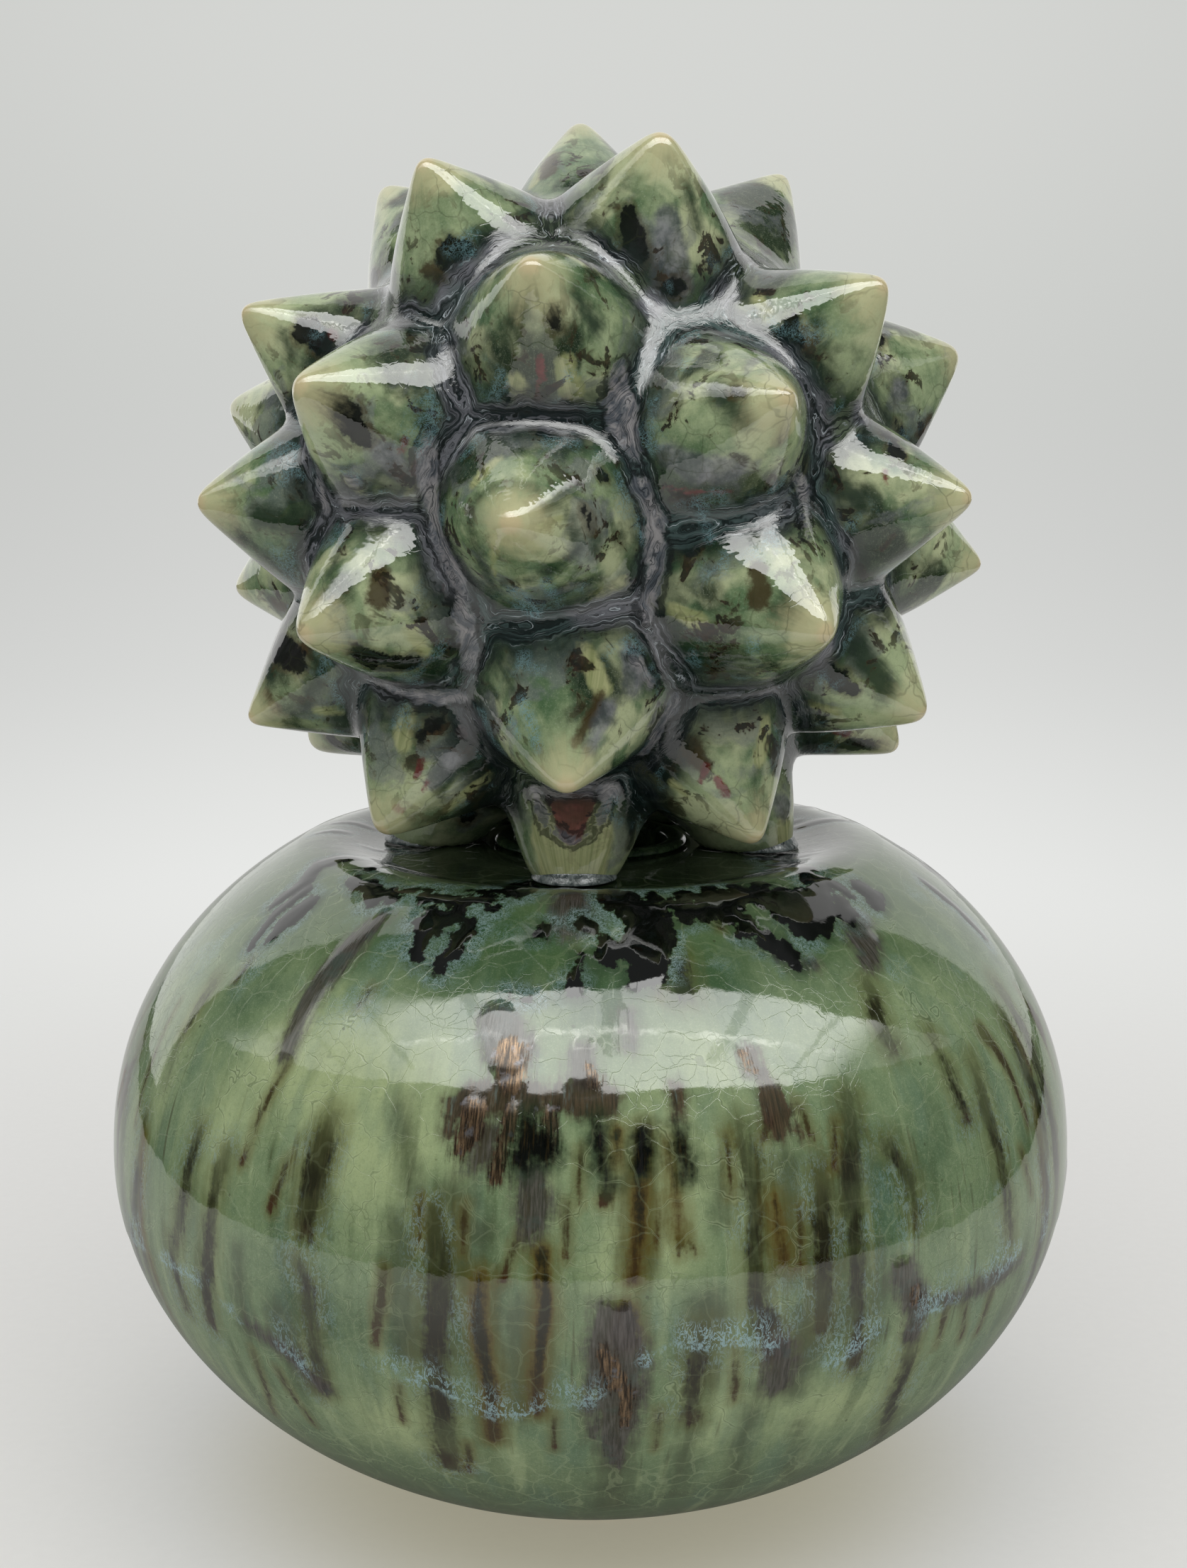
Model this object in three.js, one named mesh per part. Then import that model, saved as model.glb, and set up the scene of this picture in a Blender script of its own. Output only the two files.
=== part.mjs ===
// Glazed ceramic vase: a flattened globular body with a sunken top and a mouth
// in its centre, and a hollow ball of pointed cones that stands over the mouth
// on its five lowest cones. All lengths in millimetres, +Z up, the foot's
// resting face at z = 0 and the vase's axis on the z axis.
import * as THREE from 'three';

// ---- body ----
const BODY_R = 102.5;        // largest radius, at the equator
const EQUATOR_Z = 76.65;     // height of the equator
const UPPER_RISE = 77.6;     // upper half: height of the curve it is cut from
const UPPER_POWER = 2.14;    // upper half: fullness (2 is an ellipse)
const LOWER_DROP = 76.5;     // lower half: depth of the curve
const LOWER_POWER = 1.98;    // lower half: fullness
const WALL = 6.0;            // wall of the body
const SHOULDER_R = 62.0;     // radius where the dome stops and the crest begins
const PLATEAU_Z = 139.4;     // flat of the sunken top
const BASE_FLAT_R = 27.0;    // underside inside the foot
const BASE_FLAT_Z = 2.9;
const MOUTH_R = 19.3;        // hole in the middle of the sunken top
const LUTE = 0.3;            // gap left at every joint for slip or glaze

// ---- foot and mouth ----
const FOOT_R_IN = 26.4;
const FOOT_R_OUT = 32.6;
const LIP_R_IN = 16.0;
const LIP_R_OUT = 19.0;
const LIP_BEAD_R = 20.6;
const LIP_TOP = 141.4;
const LIP_BOTTOM = 131.6;

// ---- ball ----
const BALL_Z = 211.8;        // height of the ball's centre
const BALL_R = 56.2;         // outside of its hollow shell
const BALL_WALL = 5.6;
const VENT_R = 4.0;          // firing vent in the lowest point of the shell
const SEAT_R = 57.2;         // radius on which the cones' undersides lie
const CONE_SLOPE = 0.68;     // radius of a cone per unit of length from its tip
const CONE_LIMIT = 20.6;     // widest half angle of a cone's seat, degrees
const CELL_GAP = 0.15;       // half the gap between neighbouring cones

// Each cone: angle from straight up, azimuth (0 = front, + = right), reach from the ball's centre.
const CONES = [
  [18.7, -175.3, 84.0], [35.3, 15.8, 83.8], [35.5, 121.7, 84.0], [38.3, -120.9, 84.0],
  [40.3, -34.4, 83.7], [58.4, 153.2, 84.0], [58.6, -8.4, 84.1], [59.8, 48.6, 83.0],
  [62.2, -68.9, 81.5], [66.6, -140.3, 84.0], [68.5, 97.4, 84.0], [71.4, -174.3, 84.0],
  [73.8, -40.2, 84.1], [75.3, 25.1, 84.1], [76.4, -106.4, 83.9], [80.6, 128.4, 84.0],
  [88.2, 58.9, 83.8], [89.0, -65.9, 82.7], [89.9, 159.1, 84.0], [90.1, -9.4, 84.0],
  [98.6, -139.3, 84.0], [99.2, 93.4, 83.9], [103.3, -171.5, 84.0], [103.8, -107.0, 84.0],
  [104.0, 31.2, 84.0], [104.7, -40.2, 84.0], [118.4, 62.0, 84.1], [120.9, -74.0, 84.0],
  [125.2, -3.6, 84.1], [125.6, 140.5, 84.0], [128.7, 96.0, 85.1], [129.3, -150.3, 84.0],
  [130.0, -108.4, 84.9], [137.1, -45.2, 84.7], [138.1, 34.6, 84.4],
];

// ---- legs: the five lowest cones, cut off level on the sunken top ----
const LEG_POLAR = 153.6;
const LEG_TIP = 94.2;        // reach of the tip that is cut away
const LEG_SLOPE = 0.50;      // legs taper more slowly than the cones
const LEGS = { front: -5.2, right: 83.0, back_right: 150.0, back_left: -150.0, left: -94.0 };
const COLLAR_W = 1.9;        // ring of slip round a leg's end
const COLLAR_H = 1.7;

const SEG_BODY = 40;
const SEG_BALL = 32;
const SEG_RING = 32;
const SEG_CONE = 16;
const DEG = Math.PI / 180;

const group = new THREE.Group();
group.name = 'glazed_vase';

const clay = (color, roughness) => () => new THREE.MeshStandardMaterial({ color, roughness, metalness: 0 });
const celadon = clay(0x5f7d58, 0.12);
const celadonDeep = clay(0x3f5a44, 0.12);
const cream = clay(0x9aa57c, 0.12);
const slip = clay(0x4d5f5c, 0.15);
const bisque = clay(0x9b7f62, 0.85);

// Closed mesh from indexed points; faces are turned outward by signed volume.
function solid(name, points, faces, material) {
  let volume = 0;
  const c = new THREE.Vector3();
  for (const [a, b, d] of faces) {
    c.crossVectors(points[b], points[d]);
    volume += points[a].dot(c);
  }
  const index = [];
  for (const [a, b, d] of faces) {
    if (volume > 0) index.push(a, b, d);
    else index.push(a, d, b);
  }
  const position = new Float32Array(points.length * 3);
  points.forEach((p, i) => p.toArray(position, i * 3));
  const geometry = new THREE.BufferGeometry();
  geometry.setAttribute('position', new THREE.BufferAttribute(position, 3));
  geometry.setIndex(index);
  geometry.computeVertexNormals();
  const mesh = new THREE.Mesh(geometry, material());
  mesh.name = name;
  group.add(mesh);
  return mesh;
}

// Rings of equal count joined in order, with a pole or nothing at each end.
// loop: the last ring joins the first.
function loft(name, rings, { start = null, end = null, loop = false }, material) {
  const n = rings[0].length;
  const points = rings.flat();
  const faces = [];
  const joins = loop ? rings.length : rings.length - 1;
  for (let i = 0; i < joins; i += 1) {
    const a = i * n;
    const b = ((i + 1) % rings.length) * n;
    for (let j = 0; j < n; j += 1) {
      const k = (j + 1) % n;
      faces.push([a + j, a + k, b + k], [a + j, b + k, b + j]);
    }
  }
  if (start) {
    const s = points.length;
    points.push(start);
    for (let j = 0; j < n; j += 1) faces.push([s, (j + 1) % n, j]);
  }
  if (end) {
    const e = points.length;
    points.push(end);
    const a = (rings.length - 1) * n;
    for (let j = 0; j < n; j += 1) faces.push([e, a + j, a + ((j + 1) % n)]);
  }
  return solid(name, points, faces, material);
}

function ring(r, z, seg) {
  const out = [];
  for (let j = 0; j < seg; j += 1) {
    const t = (j / seg) * Math.PI * 2;
    out.push(new THREE.Vector3(r * Math.cos(t), r * Math.sin(t), z));
  }
  return out;
}

// Profile of [r, z] pairs turned about the z axis. A pair with r = 0 may only
// be first or last; otherwise the profile closes on itself.
function turned(name, profile, seg, material) {
  let pts = profile;
  let start = null;
  let end = null;
  if (pts[0][0] === 0) { start = new THREE.Vector3(0, 0, pts[0][1]); pts = pts.slice(1); }
  if (pts[pts.length - 1][0] === 0) { end = new THREE.Vector3(0, 0, pts[pts.length - 1][1]); pts = pts.slice(0, -1); }
  return loft(name, pts.map(([r, z]) => ring(r, z, seg)), { start, end, loop: !start && !end }, material);
}

// ---- body profile ----
const upperZ = (r, a, rise, base) => base + rise * (1 - (r / a) ** UPPER_POWER) ** (1 / UPPER_POWER);
const lowerZ = (r, a, drop, base) => base - drop * (1 - (r / a) ** LOWER_POWER) ** (1 / LOWER_POWER);

const crest = [[56.6, 141.7], [51.8, 141.3], [47.6, 140.1], [44.4, PLATEAU_Z]];
const dome = [101.9, 99.6, 95.4, 89.2, 81.2, 72.0, SHOULDER_R]
  .map((r) => [r, upperZ(r, BODY_R, UPPER_RISE, EQUATOR_Z)]);
const inR = BODY_R - WALL;
const domeIn = [SHOULDER_R - 2, 72.5, 82.5, 90.2, 94.9]
  .map((r) => [r, upperZ(r, inR, UPPER_RISE - WALL, EQUATOR_Z)]);

// upper body: outside up to the hole, down through it, and back inside
turned('body_upper', [
  [BODY_R, EQUATOR_Z + LUTE / 2],
  ...dome,
  ...crest,
  [MOUTH_R, PLATEAU_Z],
  [MOUTH_R, PLATEAU_Z - WALL],
  [46.5, PLATEAU_Z - WALL],
  [54.6, 135.2],
  ...domeIn,
  [inR, EQUATOR_Z + LUTE / 2],
], SEG_BODY, celadon);

// lower body: outside from the middle of the base up, then back inside
const bowl = [FOOT_R_OUT + 4, 50.0, 63.0, 74.5, 84.5, 92.4, 98.0, 101.4]
  .map((r) => [r, lowerZ(r, BODY_R, LOWER_DROP, EQUATOR_Z)]);
const bowlIn = [93.4, 86.5, 76.5, 63.5, 48.0, 26.0]
  .map((r) => [r, lowerZ(r, inR, EQUATOR_Z - BASE_FLAT_Z - 5.7, EQUATOR_Z)]);
turned('body_lower', [
  [0, BASE_FLAT_Z],
  [BASE_FLAT_R, BASE_FLAT_Z],
  ...bowl,
  [BODY_R, EQUATOR_Z - LUTE / 2],
  [inR, EQUATOR_Z - LUTE / 2],
  ...bowlIn,
  [0, BASE_FLAT_Z + 5.7],
], SEG_BODY, celadonDeep);

// foot: a low ring of bare clay under the body, its top following the underside
const underside = (r) => {
  if (r <= BASE_FLAT_R) return BASE_FLAT_Z;
  const r1 = FOOT_R_OUT + 4;
  const z1 = lowerZ(r1, BODY_R, LOWER_DROP, EQUATOR_Z);
  return BASE_FLAT_Z + ((r - BASE_FLAT_R) / (r1 - BASE_FLAT_R)) * (z1 - BASE_FLAT_Z);
};
turned('foot_ring', [
  [FOOT_R_IN, 0.5],
  [FOOT_R_IN + 0.7, 0],
  [FOOT_R_OUT - 0.9, 0],
  [FOOT_R_OUT, 0.7],
  [FOOT_R_OUT, underside(FOOT_R_OUT) - LUTE],
  [BASE_FLAT_R, BASE_FLAT_Z - LUTE],
  [FOOT_R_IN, BASE_FLAT_Z - LUTE],
], SEG_BODY, bisque);

// mouth: a rolled lip let into the hole
turned('mouth_lip', [
  [LIP_R_IN, LIP_BOTTOM],
  [LIP_R_OUT, LIP_BOTTOM],
  [LIP_R_OUT, PLATEAU_Z + LUTE],
  [LIP_BEAD_R, PLATEAU_Z + LUTE],
  [LIP_BEAD_R, LIP_TOP - 0.9],
  [LIP_BEAD_R - 1.4, LIP_TOP],
  [LIP_R_IN + 1.2, LIP_TOP - 0.2],
  [LIP_R_IN, LIP_TOP - 1.4],
], SEG_RING, celadonDeep);

// ---- ball shell, in two halves luted at its equator ----
const shell = (from, to, steps, r) => {
  const out = [];
  for (let i = 0; i <= steps; i += 1) {
    const t = (from + ((to - from) * i) / steps) * DEG;
    out.push([r * Math.sin(t), BALL_Z + r * Math.cos(t)]);
  }
  return out;
};
const cut = (LUTE / 2 / BALL_R) / DEG;
const ballIn = BALL_R - BALL_WALL;
const cutIn = (LUTE / 2 / ballIn) / DEG;
const outerUp = shell(0, 90 - cut, 6, BALL_R);
const innerUp = shell(90 - cutIn, 0, 5, ballIn);
outerUp[0][0] = 0;
innerUp[innerUp.length - 1][0] = 0;
turned('ball_upper', [...outerUp, ...innerUp], SEG_BALL, celadonDeep);
const ventOut = Math.asin(VENT_R / BALL_R) / DEG;
const ventIn = Math.asin(VENT_R / ballIn) / DEG;
turned('ball_lower', [
  ...shell(180 - ventOut, 90 + cut, 6, BALL_R),
  ...shell(90 + cutIn, 180 - ventIn, 5, ballIn),
], SEG_BALL, celadonDeep);

// ---- cones ----
const centre = new THREE.Vector3(0, 0, BALL_Z);
const aim = (polar, azimuth) => new THREE.Vector3(
  Math.sin(polar * DEG) * Math.sin(azimuth * DEG),
  -Math.sin(polar * DEG) * Math.cos(azimuth * DEG),
  Math.cos(polar * DEG),
);
const legNames = Object.keys(LEGS);
const axes = [
  ...CONES.map(([p, a]) => aim(p, a)),
  ...legNames.map((k) => aim(LEG_POLAR, LEGS[k])),
];

// Two directions square to an axis.
function sides(u) {
  const e1 = new THREE.Vector3(0, 0, 1).cross(u);
  if (e1.length() < 1e-6) e1.set(1, 0, 0);
  e1.normalize();
  return [e1, new THREE.Vector3().crossVectors(u, e1)];
}
const direction = (u, e1, e2, theta, phi) => new THREE.Vector3()
  .addScaledVector(u, Math.cos(theta))
  .addScaledVector(e1, Math.sin(theta) * Math.cos(phi))
  .addScaledVector(e2, Math.sin(theta) * Math.sin(phi));

// Largest angle from axis i towards phi that stays on its own side of the
// half-way plane to every neighbour, less the gap.
function seatAngle(i, e1, e2, phi) {
  const u = axes[i];
  let limit = CONE_LIMIT * DEG;
  for (let k = 0; k < axes.length; k += 1) {
    if (k !== i && u.dot(axes[k]) > 0.45) {
      const m = u.clone().sub(axes[k]).normalize();
      const au = m.dot(u);
      const side = e1.clone().multiplyScalar(Math.cos(phi)).addScaledVector(e2, Math.sin(phi)).dot(m);
      if (side < 0) {
        const gap = CELL_GAP / BALL_R;
        const size = Math.hypot(au, side);
        const theta = Math.acos(Math.min(1, gap / size)) - Math.atan2(-side, au);
        limit = Math.min(limit, theta);
      }
    }
  }
  return limit;
}
// Distance from the ball's centre to a cone's surface at theta off its axis.
const flank = (reach, theta, slope = CONE_SLOPE) => (reach * slope) / (Math.sin(theta) + slope * Math.cos(theta));
const at = (d, r) => centre.clone().addScaledVector(d, r);

CONES.forEach(([, , reach], i) => {
  const u = axes[i];
  const [e1, e2] = sides(u);
  const rings = [[], [], [], []];
  for (let j = 0; j < SEG_CONE; j += 1) {
    const phi = (j / SEG_CONE) * Math.PI * 2;
    const b = seatAngle(i, e1, e2, phi);
    const near = 1.25 * DEG;
    rings[0].push(at(direction(u, e1, e2, near, phi), reach * 0.9915 / Math.cos(near)));
    const mid = Math.min(b * 0.5, 8 * DEG);
    rings[1].push(at(direction(u, e1, e2, mid, phi), flank(reach + 0.9, mid)));
    rings[2].push(at(direction(u, e1, e2, b, phi), Math.max(SEAT_R + 0.9, flank(reach, b) + 0.6)));
    rings[3].push(at(direction(u, e1, e2, b, phi), SEAT_R));
  }
  const name = `cone_${String(i + 1).padStart(2, '0')}`;
  loft(name, rings, { start: at(u, reach), end: at(u, SEAT_R + 0.5) }, i % 3 === 0 ? cream : celadon);
});

// ---- legs and the rings of slip round their ends ----
const legEnd = PLATEAU_Z + LUTE;
legNames.forEach((k, n) => {
  const i = CONES.length + n;
  const u = axes[i];
  const [e1, e2] = sides(u);
  // angle off the axis at which the cone's surface passes a given height
  const passes = (z, phi) => {
    let lo = 0;
    let hi = 12 * DEG;
    for (let s = 0; s < 50; s += 1) {
      const t = (lo + hi) / 2;
      const d = direction(u, e1, e2, t, phi);
      if (BALL_Z + flank(LEG_TIP, t, LEG_SLOPE) * d.z < z) lo = t;
      else hi = t;
    }
    return (lo + hi) / 2;
  };
  const rings = [[], [], [], []];
  const collar = [[], [], [], []];
  const foot = at(u, (BALL_Z - legEnd) / -u.z);
  for (let j = 0; j < SEG_CONE; j += 1) {
    const phi = (j / SEG_CONE) * Math.PI * 2;
    const b = seatAngle(i, e1, e2, phi);
    const t0 = passes(legEnd, phi);
    const low = at(direction(u, e1, e2, t0, phi), flank(LEG_TIP, t0, LEG_SLOPE));
    rings[0].push(low);
    const t1 = Math.min(b * 0.96, (t0 + b) * 0.55);
    rings[1].push(at(direction(u, e1, e2, t1, phi), flank(LEG_TIP, t1, LEG_SLOPE)));
    rings[2].push(at(direction(u, e1, e2, b, phi), Math.max(SEAT_R + 0.9, flank(LEG_TIP, b, LEG_SLOPE) + 0.4)));
    rings[3].push(at(direction(u, e1, e2, b, phi), SEAT_R));
    const t2 = passes(legEnd + COLLAR_H, phi);
    const high = at(direction(u, e1, e2, t2, phi), flank(LEG_TIP, t2, LEG_SLOPE));
    const out = new THREE.Vector3(low.x - foot.x, low.y - foot.y, 0).normalize();
    const outHigh = Math.max(low.clone().sub(foot).dot(out), high.clone().sub(foot).dot(out));
    const inner = outHigh + LUTE + 0.05;
    const place = (r, z) => new THREE.Vector3(foot.x, foot.y, z).addScaledVector(out, r);
    collar[0].push(place(inner, legEnd));
    collar[1].push(place(inner + COLLAR_W, legEnd));
    collar[2].push(place(inner + COLLAR_W * 0.8, legEnd + COLLAR_H * 0.7));
    collar[3].push(place(inner + 0.35, legEnd + COLLAR_H));
  }
  loft(`leg_${k}`, rings, { start: foot, end: at(u, SEAT_R) }, cream);
  loft(`collar_${k}`, collar, { loop: true }, slip);
});

export default group;
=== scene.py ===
import math

import bpy
import numpy as np
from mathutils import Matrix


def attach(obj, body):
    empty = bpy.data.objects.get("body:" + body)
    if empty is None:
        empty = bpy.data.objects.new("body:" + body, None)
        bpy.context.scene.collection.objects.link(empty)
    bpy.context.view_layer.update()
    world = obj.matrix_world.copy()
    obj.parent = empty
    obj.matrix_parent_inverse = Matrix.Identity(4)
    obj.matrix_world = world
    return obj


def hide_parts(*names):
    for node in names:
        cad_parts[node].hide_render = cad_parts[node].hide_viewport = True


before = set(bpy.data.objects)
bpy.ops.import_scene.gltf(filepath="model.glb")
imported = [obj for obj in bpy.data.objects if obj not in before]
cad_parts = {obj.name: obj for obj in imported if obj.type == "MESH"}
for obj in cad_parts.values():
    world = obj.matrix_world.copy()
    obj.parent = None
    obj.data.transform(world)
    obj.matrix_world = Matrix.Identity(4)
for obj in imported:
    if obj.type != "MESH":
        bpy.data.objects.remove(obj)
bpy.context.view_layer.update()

SCENE = bpy.context.scene
MM = 0.001

# --------------------------------------------------------------------------
# the ball: cones and legs as [angle from straight up, azimuth, reach]
# --------------------------------------------------------------------------
CONES = [
    (18.7, -175.3, 83.7), (35.3, 15.8, 83.8), (35.5, 121.7, 84.0), (38.3, -120.9, 84.0),
    (40.3, -34.4, 83.7), (58.4, 153.2, 84.0), (58.6, -8.4, 84.1), (59.8, 48.6, 83.0),
    (62.2, -68.9, 81.5), (66.6, -140.3, 84.0), (68.5, 97.4, 84.0), (71.4, -174.3, 84.0),
    (73.8, -40.2, 84.1), (75.3, 25.1, 84.1), (76.4, -106.4, 83.9), (80.6, 128.4, 84.0),
    (88.2, 58.9, 83.8), (89.0, -65.9, 82.7), (89.9, 159.1, 84.0), (90.1, -9.4, 84.0),
    (98.6, -139.3, 84.0), (99.2, 93.4, 83.9), (103.3, -171.5, 84.0), (103.8, -107.0, 84.0),
    (104.0, 31.2, 84.0), (104.7, -40.2, 84.0), (118.4, 62.0, 84.1), (120.9, -74.0, 84.0),
    (125.2, -3.6, 84.1), (125.6, 140.5, 84.0), (128.7, 96.0, 85.1), (129.3, -150.3, 84.0),
    (130.0, -108.4, 84.9), (137.1, -45.2, 84.7), (138.1, 34.6, 84.4),
]
LEGS = {"front": -5.2, "right": 83.0, "back_right": 150.0, "back_left": -150.0, "left": -94.0}
LEG_POLAR, LEG_TIP, LEG_SLOPE = 153.6, 94.2, 0.50
BALL_Z = 211.8
PLATEAU = 139.4
BODY_R, EQUATOR_Z = 102.3, 76.65

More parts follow.
